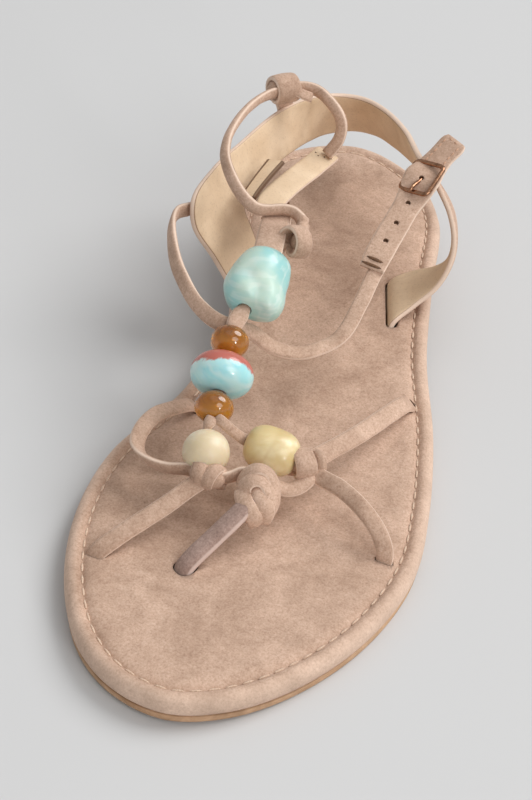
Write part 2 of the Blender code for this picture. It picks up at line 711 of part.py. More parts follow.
def bead_shape(name, margin=0.0):
    """Turned bead with a bore, set on its axis; a margin makes it a solid cutter."""
    _, centre, axis, length, diameter, bore = BEADS[name]
    inner = bore / 2 + BORE_CLEARANCE
    radius = diameter / 2
    limit = math.acos(inner / radius)
    half = length / 2 / math.sin(limit)
    reach = math.pi / 2 if margin else limit
    shape = bmesh.new()
    corners = []
    for step in range(BEAD_ROWS):
        lift = reach * (2 * step / (BEAD_ROWS - 1) - 1)
        place = ((radius + margin) * math.cos(lift), 0.0, (half + margin) * math.sin(lift))
        corners.append(shape.verts.new(place))
    edges = [shape.edges.new(pair) for pair in zip(corners, corners[1:])]
    if not margin:
        edges.append(shape.edges.new((corners[-1], corners[0])))
    bmesh.ops.spin(
        shape, geom=corners + edges, cent=(0, 0, 0), axis=(0, 0, 1), angle=2 * math.pi, steps=BEAD_SIDES,
        use_merge=True,
    )
    bmesh.ops.remove_doubles(shape, verts=shape.verts, dist=MERGE_DISTANCE)
    if name == "bead_nugget":
        add_lobes(shape, inner, radius)
    turn = Vector((0, 0, 1)).rotation_difference(Vector(axis)).to_matrix().to_4x4()
    bmesh.ops.transform(shape, matrix=Matrix.Translation(centre) @ turn, verts=shape.verts)
    return shape


def add_lobes(shape, inner, outer):
    """Swell a turned nugget into lobes and leave its bore round."""
    for corner in shape.verts:
        radius = math.hypot(corner.co.x, corner.co.y)
        turn = math.atan2(corner.co.y, corner.co.x)
        share = min(1.0, max(0.0, (radius - inner) / (outer - inner)))
        lobes = 0.0
        for count, twist, start in NUGGET_LOBES:
            lobes += math.cos(count * turn + twist * corner.co.z + start)
        corner.co.x *= 1 + NUGGET_SWELL * lobes * share
        corner.co.y *= 1 + NUGGET_SWELL * lobes * share


def make_beads():
    """Threaded beads and the lobed nugget."""
    for name, (material_name, *_) in BEADS.items():
        add_object(name, bead_shape(name), material_name)


def make_buckle(name, centre, along, across):
    """Square frame lying on a strap and the prong that rests on it."""
    centre = Vector(centre)
    along = Vector(along).normalized()
    across = (Vector(across) - along * along.dot(Vector(across))).normalized()
    upward = across.cross(along).normalized()
    reach = (BUCKLE_LENGTH - BUCKLE_BAR) / 2
    breadth = (BUCKLE_WIDTH - BUCKLE_BAR) / 2
    rings = []
    for quarter, (across_sign, along_sign) in enumerate(((1, 1), (-1, 1), (-1, -1), (1, -1))):
        corner = across * across_sign * (breadth - BUCKLE_BEND) + along * along_sign * (reach - BUCKLE_BEND)
        for step in range(CORNER_STEPS + 1):
            turn = math.pi / 2 * (quarter + step / CORNER_STEPS)
            outward = across * math.cos(turn) + along * math.sin(turn)
            place = centre + corner + outward * BUCKLE_BEND
            rings.append(round_ring(place, outward, upward, BUCKLE_BAR, BAR_SIDES))
    add_object(f"{name}_frame", loft(rings, closed=True), "copper")
    lift = upward * ((BUCKLE_BAR + PRONG_BAR) / 2 + GAP)
    ends = [centre + lift + along * reach * PRONG_REACH * share for share in (1, 0, -1)]
    prong = loft([round_ring(place, across, upward, PRONG_BAR, BAR_SIDES) for place in ends])
    add_object(f"{name}_prong", prong, "copper")


def main():
    """Build every piece of the sandal."""
    clear_scene()
    make_outsole()
    make_heel_block()
    make_footbed()
    make_upper_straps()
    make_heel_band()
    make_ankle_strap()
    make_beads()
    for name, places in BUCKLES.items():
        make_buckle(name, *places)


main()
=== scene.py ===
"""Looks of a left beaded sandal: sole, footbed, knotted laces, heel band, ankle strap, beads and buckles.

Routes and sizes are in millimetres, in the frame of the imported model: the toe points along -Y, +X is the lateral
side and +Z is up. Meshes are made in metres.
"""
import logging
import math
from dataclasses import dataclass, field, replace
from enum import Enum
from itertools import zip_longest
from typing import Callable, Iterable, Optional, Sequence

import bmesh
import bpy
import numpy as np
from mathutils import Matrix, Vector, noise


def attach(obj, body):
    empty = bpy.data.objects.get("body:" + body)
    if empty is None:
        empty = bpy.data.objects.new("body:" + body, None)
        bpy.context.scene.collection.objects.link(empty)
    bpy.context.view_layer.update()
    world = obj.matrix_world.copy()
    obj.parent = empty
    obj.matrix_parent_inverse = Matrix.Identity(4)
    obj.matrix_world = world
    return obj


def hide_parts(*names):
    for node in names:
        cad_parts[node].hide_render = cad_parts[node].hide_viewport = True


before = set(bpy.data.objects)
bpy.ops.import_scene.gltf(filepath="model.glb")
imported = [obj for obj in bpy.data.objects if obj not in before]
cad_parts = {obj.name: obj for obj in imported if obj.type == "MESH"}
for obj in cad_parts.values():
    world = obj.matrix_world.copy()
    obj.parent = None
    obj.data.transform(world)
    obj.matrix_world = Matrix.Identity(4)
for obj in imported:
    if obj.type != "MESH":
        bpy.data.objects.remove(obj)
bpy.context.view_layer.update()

LOG = logging.getLogger("sandal")

MM = 0.001
SAME_PLACE = 1e-7
BODY = "root"
UPRIGHT = Vector((0.0, 0.0, 1.0))
# Directions of the photograph: to its right, up its picture and towards the viewer
VIEW_RIGHT = Vector((0.95675, 0.29090, 0.0))
VIEW_UP = Vector((-0.19280, 0.63411, 0.74882))
VIEW_OUT = VIEW_RIGHT.cross(VIEW_UP)

Colour = tuple[float, float, float, float]
Row = tuple[float, ...]
Place = tuple[float, float, float]
Corner = tuple[Vector, float, float]
Socket = bpy.types.NodeSocket


def srgb(red: int, green: int, blue: int) -> Colour:
    """Linear colour of an 8-bit display colour.

    Args:
        red: red from 0 to 255.
        green: green from 0 to 255.
        blue: blue from 0 to 255.

    Returns:
        The linear colour with full alpha.
    """
    shares = [channel / 255 for channel in (red, green, blue)]
    linear = [share / 12.92 if share <= 0.04045 else ((share + 0.055) / 1.055) ** 2.4 for share in shares]
    return linear[0], linear[1], linear[2], 1.0


WHITE = srgb(255, 255, 255)


class Slot(Enum):
    """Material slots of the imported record."""

    SUEDE = "suede"
    OUTSOLE = "outsole"
    HEEL = "heel"
    CREAM = "cream_stone"
    AMBER = "amber_stone"
    TURQUOISE = "turquoise_stone"
    COPPER = "copper"


class Facing(Enum):
    """How the flat side of a lace is turned along its route."""

    UPRIGHT = "upright"
    OUTWARD = "outward"
    VIEWER = "viewer"


class Side(Enum):
    """Long edges of the sole."""

    MEDIAL = "medial"
    LATERAL = "lateral"


class Board:
    """Node tree of one material, with short calls for the nodes that the finishes share."""

    def __init__(self, name: str) -> None:
        """Start a material with its own Principled shader.

        Args:
            name: name of the material.
        """
        self.material = bpy.data.materials.new(name)
        self.material.use_nodes = True
        self.nodes = self.material.node_tree.nodes
        self.links = self.material.node_tree.links
        self.shader = self.nodes["Principled BSDF"]
        self.place = self.nodes.new("ShaderNodeTexCoord").outputs["Object"]

    def stretched(self, scale: Sequence[float], turn: Sequence[float] = (0.0, 0.0, 0.0)) -> Socket:
        """Object coordinates scaled by axis.

        Args:
            scale: factor along each axis.
            turn: turn about each axis in radians.

        Returns:
            The vector socket.
        """
        node = self.nodes.new("ShaderNodeMapping")
        node.inputs["Scale"].default_value = scale
        node.inputs["Rotation"].default_value = turn
        self.links.new(self.place, node.inputs["Vector"])
        return node.outputs["Vector"]

    def noise(
        self, scale: float, detail: float = 2.0, roughness: float = 0.5, distortion: float = 0.0,
        vector: Optional[Socket] = None,
    ) -> Socket:
        """Noise over the piece.

        Args:
            scale: grains per metre.
            detail: octaves.
            roughness: weight of the finer octaves.
            distortion: swirl of the pattern.
            vector: coordinates, or None for the object's own.

        Returns:
            The noise's value socket.
        """
        node = self.nodes.new("ShaderNodeTexNoise")
        node.inputs["Scale"].default_value = scale
        node.inputs["Detail"].default_value = detail
        node.inputs["Roughness"].default_value = roughness
        node.inputs["Distortion"].default_value = distortion
        self.links.new(vector or self.place, node.inputs["Vector"])
        return node.outputs["Fac"]

    def mark(self, name: str) -> Socket:
        """Value of a mesh attribute of the piece.

        Args:
            name: name of the attribute.

        Returns:
            The value socket.
        """
        node = self.nodes.new("ShaderNodeAttribute")
        node.attribute_name = name
        return node.outputs["Fac"]

    def ramp(self, value: Socket, stops: Sequence[tuple[float, Colour]]) -> Socket:
        """Colour picked along a ramp.

        Args:
            value: socket that runs from 0 to 1.
            stops: position and colour of each stop.

        Returns:
            The colour socket.
        """
        node = self.nodes.new("ShaderNodeValToRGB")
        elements = node.color_ramp.elements
        while len(elements) < len(stops):
            elements.new(0.5)
        for element, (position, colour) in zip(elements, stops):
            element.position = position
            element.color = colour
        self.links.new(value, node.inputs["Fac"])
        return node.outputs["Color"]

    def maths(
        self, operation: str, first: Socket, second: Socket | float = 0.0,
    ) -> Socket:
        """One arithmetic step.

        Args:
            operation: name of the Math node's operation.
            first: socket on the left.
            second: socket or number on the right.

        Returns:
            The result's socket.
        """
        node = self.nodes.new("ShaderNodeMath")
        node.operation = operation
        self.links.new(first, node.inputs[0])
        if isinstance(second, (int, float)):
            node.inputs[1].default_value = second
        else:
            self.links.new(second, node.inputs[1])
        return node.outputs["Value"]

    def span(self, value: Socket, low: float, high: float) -> Socket:
        """Smooth step of a value.

        Args:
            value: socket to read.
            low: value that gives 0.
            high: value that gives 1.

        Returns:
            The stepped socket.
        """
        node = self.nodes.new("ShaderNodeMapRange")
        node.interpolation_type = "SMOOTHSTEP"
        node.inputs["From Min"].default_value = low
        node.inputs["From Max"].default_value = high
        self.links.new(value, node.inputs["Value"])
        return node.outputs["Result"]

    def mix(
        self, share: Socket | float, first: Socket | Colour,
        second: Socket | Colour, mode: str = "MIX",
    ) -> Socket:
        """Blend of two colours.

        Args:
            share: weight of the second colour.
            first: colour or socket at weight 0.
            second: colour or socket at weight 1.
            mode: blend mode.

        Returns:
            The blended colour's socket.
        """
        node = self.nodes.new("ShaderNodeMix")
        node.data_type = "RGBA"
        node.blend_type = mode
        for value, socket in ((share, node.inputs[0]), (first, node.inputs[6]), (second, node.inputs[7])):
            if isinstance(value, Socket):
                self.links.new(value, socket)
            else:
                socket.default_value = value
        return node.outputs[2]

    def veil(self, tone: Socket, colour: Colour, cover: Socket, share: float) -> Socket:
        """Tone with another colour laid over a part of it.

        Args:
            tone: socket of the tone below.
            colour: colour laid over it.
            cover: socket that runs from 0 to 1 where the colour lies.
            share: weight of the colour at full cover.

        Returns:
            The blended colour's socket.
        """
        return self.mix(self.maths("MULTIPLY", cover, share), tone, colour)

    def edges(self, low: float, high: float) -> Socket:
        """Smooth step towards the edges of a strap.

        Args:
            low: share of the half width that gives 0.
            high: share of the half width that gives 1.

        Returns:
            The stepped socket.
        """
        return self.span(self.maths("ABSOLUTE", self.mark("across")), low, high)

    def dress(
        self, colour: Socket, settings: dict[str, float | Colour],
        height: Optional[Socket] = None, relief: float = 0.3, depth: float = 0.2,
        roughness: Optional[Socket] = None,
    ) -> bpy.types.Material:
        """Join the parts of the finish to the shader.

        Args:
            colour: base colour's socket.
            settings: shader sockets with one value all over.
            height: socket that lifts the surface.
            relief: strength of the lift.
            depth: height of the lift in millimetres.
            roughness: roughness socket where it varies.

        Returns:
            The finished material.
        """
        self.links.new(colour, self.shader.inputs["Base Color"])
        for name, value in settings.items():
            self.shader.inputs[name].default_value = value
        if roughness is not None:
            self.links.new(roughness, self.shader.inputs["Roughness"])
        if height is not None:
            bump = self.nodes.new("ShaderNodeBump")
            bump.inputs["Strength"].default_value = relief
            bump.inputs["Distance"].default_value = depth * MM
            self.links.new(height, bump.inputs["Height"])
            self.links.new(bump.outputs["Normal"], self.shader.inputs["Normal"])
        return self.material


@dataclass(frozen=True)
class SuedeFinish:
    """Napped leather with fine mottling, brushed patches and paler cut edges, which are a painted highlight."""

    name: str
    dark: Colour = srgb(174, 140, 119)
    middle: Colour = srgb(209, 177, 155)
    light: Colour = srgb(230, 202, 182)
    # Pale colour at the edges of laces and straps and on the footbed's rim: painted highlight
    edge: Colour = srgb(241, 217, 197)
    shade: Colour = srgb(214, 208, 203)
    sheen: Colour = srgb(255, 236, 220)
    grain: float = 1700.0
    patch: float = 55.0
    edge_from: float = 0.88
    edge_share: float = 0.8

    def build(self) -> bpy.types.Material:
        """Make the material.

        Returns:
            The suede material.
        """
        board = Board(self.name)
        fine = board.noise(self.grain, detail=3.0, roughness=0.75)
        fibre = board.noise(self.grain * 0.45, detail=4.0, roughness=0.8, distortion=0.6)
        nap = board.maths("ADD", board.maths("MULTIPLY", fine, 0.6), board.maths("MULTIPLY", fibre, 0.4))
        tone = board.ramp(nap, ((0.30, self.dark), (0.50, self.middle), (0.72, self.light)))
        brushed = board.noise(self.patch, detail=3.0, roughness=0.6, distortion=0.8)
        tufts = board.noise(self.patch * 5.0, detail=3.0, roughness=0.7, distortion=0.5)
        for pattern, low, high, share in ((brushed, 0.32, 0.62, 0.85), (tufts, 0.34, 0.62, 0.3)):
            shade = board.ramp(pattern, ((low, self.shade), (high, WHITE)))
            tone = board.mix(share, tone, shade, "MULTIPLY")
        # Painted highlight: the pale edge colour laid over the edges
        tone = board.veil(tone, self.edge, board.edges(self.edge_from, 1.0), self.edge_share)
        settings = {
            "Roughness": 0.95, "Specular IOR Level": 0.2, "Sheen Weight": 0.22, "Sheen Roughness": 0.55,
            "Sheen Tint": self.sheen,
        }
        return board.dress(tone, settings, height=nap, relief=0.45, depth=0.35)


@dataclass(frozen=True)
class LiningFinish:
    """Smooth cream lining leather with faint pores and a brown inked edge; where the dark edge starts far in, it is
    widened into painted shadow.
    """

    name: str
    pale: Colour = srgb(232, 207, 176)
    deep: Colour = srgb(214, 186, 153)
    ink_and_shadow: Colour = srgb(132, 94, 68)
    dark_edge_from: float = 0.925
    dark_edge_fade: float = 0.04

    def build(self) -> bpy.types.Material:
        """Make the material.

        Returns:
            The lining material.
        """
        board = Board(self.name)
        cloud = board.noise(70.0, detail=4.0, roughness=0.6, distortion=0.4)
        pores = board.noise(1500.0, detail=2.0, roughness=0.6)
        tone = board.ramp(cloud, ((0.30, self.deep), (0.65, self.pale)))
        tone = board.veil(tone, self.ink_and_shadow, board.span(pores, 0.52, 0.72), 0.16)
        # Dark band along the edges: the inked edge, widened into painted shadow where it starts far in
        tone = board.veil(tone, self.ink_and_shadow, board.edges(self.dark_edge_from, self.dark_edge_from + self.dark_edge_fade), 0.85)
        settings = {"Roughness": 0.62, "Specular IOR Level": 0.35}
        return board.dress(tone, settings, height=pores, relief=0.2, depth=0.12)


@dataclass(frozen=True)
class SheetFinish:
    """Cut leather sheet or stack with fine layers along its height."""

    name: str
    pale: Colour
    deep: Colour
    layers: float
    roughness: float
    scuff: Colour = srgb(205, 198, 190)

    def build(self) -> bpy.types.Material:
        """Make the material.

        Returns:
            The layered leather material.
        """
        board = Board(self.name)
        flat = board.stretched((0.05, 0.05, 1.0))
        layer = board.noise(self.layers, detail=3.0, roughness=0.6, distortion=0.1, vector=flat)
        scuffs = board.noise(160.0, detail=5.0, roughness=0.7, distortion=0.5)
        tone = board.ramp(layer, ((0.32, self.deep), (0.66, self.pale)))
        wear_and_highlight = board.ramp(scuffs, ((0.35, self.scuff), (0.65, WHITE)))
        tone = board.mix(0.8, tone, wear_and_highlight, "MULTIPLY")
        settings = {"Roughness": self.roughness, "Specular IOR Level": 0.35}
        return board.dress(tone, settings, height=layer, relief=0.3, depth=0.15)


@dataclass(frozen=True)
class StoneFinish:
    """Polished stone with clouds and veins, lit a little from inside, and with a painted glow towards its lower end
    where a low colour is given.
    """

    name: str
    body: Colour
    cloud: Colour
    vein: Colour
    scale: float
    vein_share: float
    vein_width: float = 0.08
    glow: float = 0.2
    gloss: float = 0.1
    coat: float = 0.5
    clear: float = 0.0
    streak: float = 0.0
    band: Optional[Colour] = None
    # Colour towards the lower end of the bead: painted glow of light through the stone
    low: Optional[Colour] = None

    def build(self) -> bpy.types.Material:
        """Make the material.

        Returns:
            The stone material.
        """
        board = Board(self.name)
        drift = board.noise(self.scale, detail=4.0, roughness=0.55, distortion=1.2)
        tone = board.mix(board.span(drift, 0.38, 0.66), self.body, self.cloud)
        drawn = board.stretched((1.0, 0.35, 1.0), turn=(0.4, 0.2, 0.7))
        swirl = board.noise(self.scale * 0.8, detail=2.0, roughness=0.4, distortion=2.6, vector=drawn)
        ridge = board.maths("ABSOLUTE", board.maths("SUBTRACT", swirl, 0.5))
        tone = board.veil(tone, self.vein, board.span(ridge, self.vein_width, 0.0), self.vein_share)
        if self.streak:
            slanted = board.stretched((0.12, 0.5, 1.0), turn=(0.0, -0.75, 0.3))
            lines = board.noise(700.0, detail=1.0, roughness=0.5, distortion=0.2, vector=slanted)
            tone = board.veil(tone, self.vein, board.span(lines, 0.52, 0.66), self.streak)
        if self.low is not None:
            # Painted glow: brighter towards the lower end
            tone = board.mix(board.span(board.mark("lift"), 0.2, -0.9), tone, self.low)
        if self.band is not None:
            sweep = board.maths("SUBTRACT", board.noise(110.0, detail=3.0), 0.5)
            sweep = board.maths("MULTIPLY", sweep, 0.9)
            fray = board.maths("SUBTRACT", board.noise(480.0, detail=3.0, roughness=0.7), 0.5)
            fray = board.maths("MULTIPLY", fray, 0.5)
            level = board.maths("ADD", board.mark("lift"), board.maths("ADD", sweep, fray))
            tone = board.mix(board.span(level, -0.06, 0.12), tone, self.band)
        settings = {
            "Roughness": self.gloss, "Specular IOR Level": 0.55, "Coat Weight": self.coat, "Coat Roughness": 0.05,
            "Subsurface Weight": self.glow, "Subsurface Scale": 0.002, "Subsurface Radius": (1.0, 0.7, 0.4),
            "Transmission Weight": self.clear, "IOR": 1.54,
        }
        return board.dress(tone, settings)


@dataclass(frozen=True)
class MetalFinish:
    """Polished plated metal with fine handling marks."""

    name: str
    bright: Colour = srgb(188, 142, 112)
    dull: Colour = srgb(126, 90, 68)

    def build(self) -> bpy.types.Material:
        """Make the material.

        Returns:
            The metal material.
        """
        board = Board(self.name)
        marks = board.noise(600.0, detail=4.0, roughness=0.7)
        tone = board.ramp(marks, ((0.35, self.dull), (0.6, self.bright)))
        gloss = board.ramp(marks, ((0.3, (0.32, 0.32, 0.32, 1.0)), (0.7, (0.16, 0.16, 0.16, 1.0))))
        return board.dress(tone, {"Metallic": 1.0}, roughness=gloss)


@dataclass(frozen=True)
class ThreadFinish:
    """Twisted thread of a stitch."""

    name: str
    pale: Colour
    deep: Colour

    def build(self) -> bpy.types.Material:
        """Make the material.

        Returns:
            The thread material.
        """
        board = Board(self.name)
        twist = board.noise(2600.0, detail=2.0, roughness=0.6)
        tone = board.ramp(twist, ((0.35, self.deep), (0.65, self.pale)))
        return board.dress(tone, {"Roughness": 0.75, "Sheen Weight": 0.2}, height=twist, relief=0.4, depth=0.15)


@dataclass(frozen=True)
class FloorFinish:
    """Plain pale studio floor."""

    name: str = "studio_floor"
    tone: Colour = srgb(205, 205, 205)
    pale: Colour = srgb(208, 208, 208)

    def build(self) -> bpy.types.Material:
        """Make the material.

        Returns:
            The floor material.
        """
        board = Board(self.name)
        grain = board.noise(6.0, detail=2.0)
        colour = board.ramp(grain, ((0.0, self.tone), (1.0, self.pale)))
        return board.dress(colour, {"Roughness": 0.85, "Specular IOR Level": 0.2})


SUEDE = SuedeFinish("taupe_suede")
POST_SUEDE = SuedeFinish(
    "mauve_suede", srgb(136, 114, 106), srgb(170, 144, 133), srgb(196, 170, 159), srgb(226, 204, 194),
)
# Dark brown suede on the walls of the slots and holes: painted shade inside them
SLOT_SHADE = SuedeFinish(
    "slot_shade_suede", srgb(104, 76, 56), srgb(126, 96, 74), srgb(146, 114, 90), srgb(146, 114, 90),
)
LINING = LiningFinish("cream_lining")
# The strap end's lining: its inked edge widened into painted shadow of the gaps beside the strap
STRAP_LINING = LiningFinish("strap_lining", ink_and_shadow=srgb(92, 62, 40), dark_edge_from=0.62)
# Dark brown suede on the strap end's edges and underside: an inked edge, and painted shadow of the slit beside the
# strap
INKED_AND_SHADED_EDGE = SuedeFinish(
    "inked_and_shaded_edge", srgb(86, 60, 42), srgb(106, 76, 54), srgb(128, 94, 70), srgb(96, 68, 48),
)
TAN_SOLE = SheetFinish("tan_sole_leather", srgb(214, 178, 144), srgb(194, 154, 120), 900.0, 0.6)
HEEL_STACK = SheetFinish("brown_heel_stack", srgb(172, 118, 78), srgb(138, 92, 60), 700.0, 0.5)
MILK_STONE = StoneFinish(
    "milk_stone", srgb(222, 204, 170), srgb(236, 224, 198), srgb(212, 190, 150), 60.0, 0.2,
    glow=0.5, gloss=0.4, coat=0.05,
)
CREAM_STONE = StoneFinish(
    "honey_cream_stone", srgb(222, 199, 146), srgb(238, 222, 180), srgb(202, 172, 114), 55.0, 0.35,
    vein_width=0.14, glow=0.4, gloss=0.3, coat=0.1,
)
# The ambers carry a painted glow, brighter towards their lower ends
AMBER_STONE = StoneFinish(
    "honey_amber_stone", srgb(174, 101, 6), srgb(206, 136, 20), srgb(118, 62, 4), 110.0, 0.25,
    glow=0.0, clear=0.55, low=srgb(230, 156, 54),
)
TURQUOISE_STONE = StoneFinish(
    "sea_turquoise_stone", srgb(156, 209, 206), srgb(198, 221, 205), srgb(236, 242, 234), 40.0, 0.2,
    vein_width=0.06, glow=0.1, gloss=0.32, coat=0.06, streak=0.25,
)
BANDED_STONE = StoneFinish(
    "banded_stone", srgb(164, 222, 226), srgb(202, 234, 230), srgb(234, 246, 240), 60.0, 0.35,
    glow=0.15, gloss=0.22, coat=0.2, band=srgb(192, 106, 92),
)
COPPER = MetalFinish("rose_copper")
PALE_THREAD = ThreadFinish("pale_thread", srgb(228, 202, 178), srgb(200, 170, 146))
TIP_THREAD = ThreadFinish("tip_thread", srgb(214, 172, 142), srgb(178, 136, 108))
BROWN_THREAD = ThreadFinish("brown_thread", srgb(128, 90, 58), srgb(86, 58, 36))

Finish = SuedeFinish | LiningFinish | SheetFinish | StoneFinish | MetalFinish | ThreadFinish | FloorFinish


def material_of(finish: Finish) -> bpy.types.Material:
    """Material of a finish, made once.

    Args:
        finish: the finish to use.

    Returns:
        Its material.
    """
    return bpy.data.materials.get(finish.name) or finish.build()


def smooth_rows(rows: Sequence[Row], count: int, closed: bool = False, steps: int = 16) -> np.ndarray:
    """Rows spaced evenly along a smooth curve through the given rows.

    Args:
        rows: places, each with any further columns, which are carried along.
        count: number of rows to give.
        closed: whether the curve joins its start.
        steps: points between two given rows.

    Returns:
        An array with one row per place.
    """
    table = np.array(rows, dtype=float)
    if closed:
        table = np.vstack([table[-1:], table, table[:2]])
    spans = np.sqrt(np.linalg.norm(np.diff(table[:, :3], axis=0), axis=1))
    knots = np.concatenate([[0.0], np.cumsum(spans)])
    slopes = np.gradient(table, knots, axis=0)
    first, last = (1, len(table) - 2) if closed else (0, len(table) - 1)
    dense = []
    for leg in range(first, last):
        span = knots[leg + 1] - knots[leg]
        for step in range(steps):
            u = step / steps
            dense.append(
                (2 * u**3 - 3 * u**2 + 1) * table[leg]
                + (u**3 - 2 * u**2 + u) * span * slopes[leg]
                + (3 * u**2 - 2 * u**3) * table[leg + 1]
                + (u**3 - u**2) * span * slopes[leg + 1]
            )
    dense.append(table[last])
    curve = np.array(dense)
    reach = np.concatenate([[0.0], np.cumsum(np.linalg.norm(np.diff(curve[:, :3], axis=0), axis=1))])
    places = np.linspace(0.0, reach[-1], count)
    return np.column_stack([np.interp(places, reach, curve[:, column]) for column in range(curve.shape[1])])


def route_length(rows: Sequence[Row]) -> float:
    """Length of a route in millimetres, corner to corner."""
    return float(np.linalg.norm(np.diff(np.array(rows, dtype=float)[:, :3], axis=0), axis=1).sum())


def directions(places: np.ndarray) -> list[Vector]:
    """Unit directions along a row of places."""
    slopes = np.gradient(np.array(places, dtype=float), axis=0)
    return [Vector(slope).normalized() for slope in slopes]


def eased(low: float, high: float, value: float) -> float:
    """Smooth step from 0 at low to 1 at high."""
    share = min(1.0, max(0.0, (value - low) / (high - low)))
    return share * share * (3 - 2 * share)


def wobble(along: float, seed: float, period: float) -> float:
    """Smooth unevenness of handmade work.

    Args:
        along: place along the piece in millimetres.
        seed: number that tells pieces apart.
        period: length of one swell in millimetres.

    Returns:
        A value from about -1 to 1.
    """
    return noise.noise(Vector((along / period, seed * 7.31, seed * 3.17)))


@dataclass(frozen=True)
class Section:
    """Flat section with rounded edges, set across a route."""

    centre: Vector
    side: Vector
    face: Vector
    width: float
    depth: float

    def corners(self, flat: int, edge: int, crown: float) -> list[Corner]:
        """Corners round the section.

        Args:
            flat: corners along each flat side.
            edge: corners round each edge.
            crown: share by which the flat sides swell in the middle.

        Returns:
            Place, share across the width and share of the depth of each corner.
        """
        half_depth = self.depth / 2
        half_width = max(self.width / 2, half_depth)
        reach = half_width - half_depth * 0.9
        marks: list[tuple[float, float]] = []
        for sign in (1.0, -1.0):
            for step in range(flat):
                share = 1.0 - 2.0 * step / (flat - 1)
                lift = 1.0 - crown * share * share
                marks.append((sign * share * reach, sign * half_depth * lift))
            for step in range(1, edge + 1):
                turn = math.pi * step / (edge + 1)
                across = -sign * (reach + (half_width - reach) * math.sin(turn))
                marks.append((across, sign * half_depth * (1.0 - crown) * math.cos(turn)))
        return [
            (self.centre + self.side * u + self.face * v, u / half_width, v / half_depth) for u, v in marks
        ]

    def inside(self, share: float) -> Vector:
        """Place in the middle of the depth, at a share of the width."""
        return self.centre + self.side * share * self.width

    def on_face(self, share: float, sink: float = 0.0) -> Vector:
        """Place on the face, at a share of the width, sunk by some millimetres."""
        return self.inside(share) + self.face * (self.depth / 2 - sink)


class Skin:
    """Surface lofted through rings of corners with bridge_loops."""

    lined_from: float = 0.55

    def __init__(self) -> None:
        """Start an empty mesh with the marks that the finishes read."""
        self.mesh = bmesh.new()
        self.across = self.mesh.verts.layers.float.new("across")
        self.side = self.mesh.verts.layers.float.new("side")
        self.rings: list[list[bmesh.types.BMEdge]] = []

    @classmethod
    def through(cls, sections: Iterable[Section], flat: int, edge: int, crown: float) -> "Skin":
        """Skin through a row of sections, closed at both ends.

        Args:
            sections: sections from start to end.
            flat: corners along each flat side.
            edge: corners round each edge.
            crown: share by which the flat sides swell in the middle.

        Returns:
            The closed skin.
        """
        skin = cls()
        for section in sections:
            skin.add_ring(section.corners(flat, edge, crown))
        skin.cap()
        return skin

    def add_ring(self, corners: Sequence[Corner]) -> None:
        """Add the next ring and bridge it to the one before.

        Args:
            corners: place in millimetres and the two marks of each corner.
        """
        made = bmesh.ops.create_circle(self.mesh, cap_ends=False, radius=1.0, segments=len(corners))["verts"]
        for corner, (place, across, side) in zip(made, corners):
            corner.co = place * MM
            corner[self.across] = across
            corner[self.side] = side
        edges = list({edge for corner in made for edge in corner.link_edges})
        if self.rings:
            bmesh.ops.bridge_loops(self.mesh, edges=self.rings[-1] + edges)
        self.rings.append(edges)

    def close(self) -> None:
        """Bridge the last ring to the first."""
        bmesh.ops.bridge_loops(self.mesh, edges=self.rings[-1] + self.rings[0])

    def cap(self, first: bool = True, last: bool = True) -> None:
        """Fill the end rings.

        Args:
            first: whether the first ring is filled.
            last: whether the last ring is filled.
        """
        for wanted, edges in ((first, self.rings[0]), (last, self.rings[-1])):
            if wanted:
                bmesh.ops.triangle_fill(self.mesh, use_beauty=True, edges=edges)

    def solid(self) -> bmesh.types.BMesh:
        """Mesh with its faces turned outwards."""
        bmesh.ops.recalc_face_normals(self.mesh, faces=self.mesh.faces)
        return self.mesh

    def lined(self, sign: float, number: int) -> Callable[[bmesh.types.BMFace], int]:
        """Choice of finish for a strap with a lining on one side.

        Args:
            sign: 1.0 where the face side is lined, -1.0 where the back is.
            number: number of the lining's finish.

        Returns:
            A function that gives the number of a face's finish.
        """
        def pick(face: bmesh.types.BMFace) -> int:
            """Number of the lining on the lined side, else 0."""
            mean = sum(corner[self.side] for corner in face.verts) / len(face.verts)
            return number if sign * mean > self.lined_from else 0

        return pick


def add_piece(
    name: str, mesh: bmesh.types.BMesh, finishes: Sequence[Finish], slot: Slot, nodes: Iterable[str],
    pick: Optional[Callable[[bmesh.types.BMFace], int]] = None,
) -> bpy.types.Object:
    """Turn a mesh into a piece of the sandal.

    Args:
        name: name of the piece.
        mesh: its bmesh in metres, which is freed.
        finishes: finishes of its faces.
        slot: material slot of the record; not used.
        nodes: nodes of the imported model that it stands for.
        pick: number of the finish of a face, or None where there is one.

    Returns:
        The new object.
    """
    for face in mesh.faces:
        face.smooth = True
        face.material_index = pick(face) if pick else 0
    data = bpy.data.meshes.new(name)
    mesh.to_mesh(data)
    mesh.free()
    piece = bpy.data.objects.new(name, data)
    bpy.context.scene.collection.objects.link(piece)
    for finish in finishes:
        data.materials.append(material_of(finish))
    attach(piece, BODY)
    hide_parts(*nodes)
    LOG.info("%s: %d faces", name, len(data.polygons))
    return piece


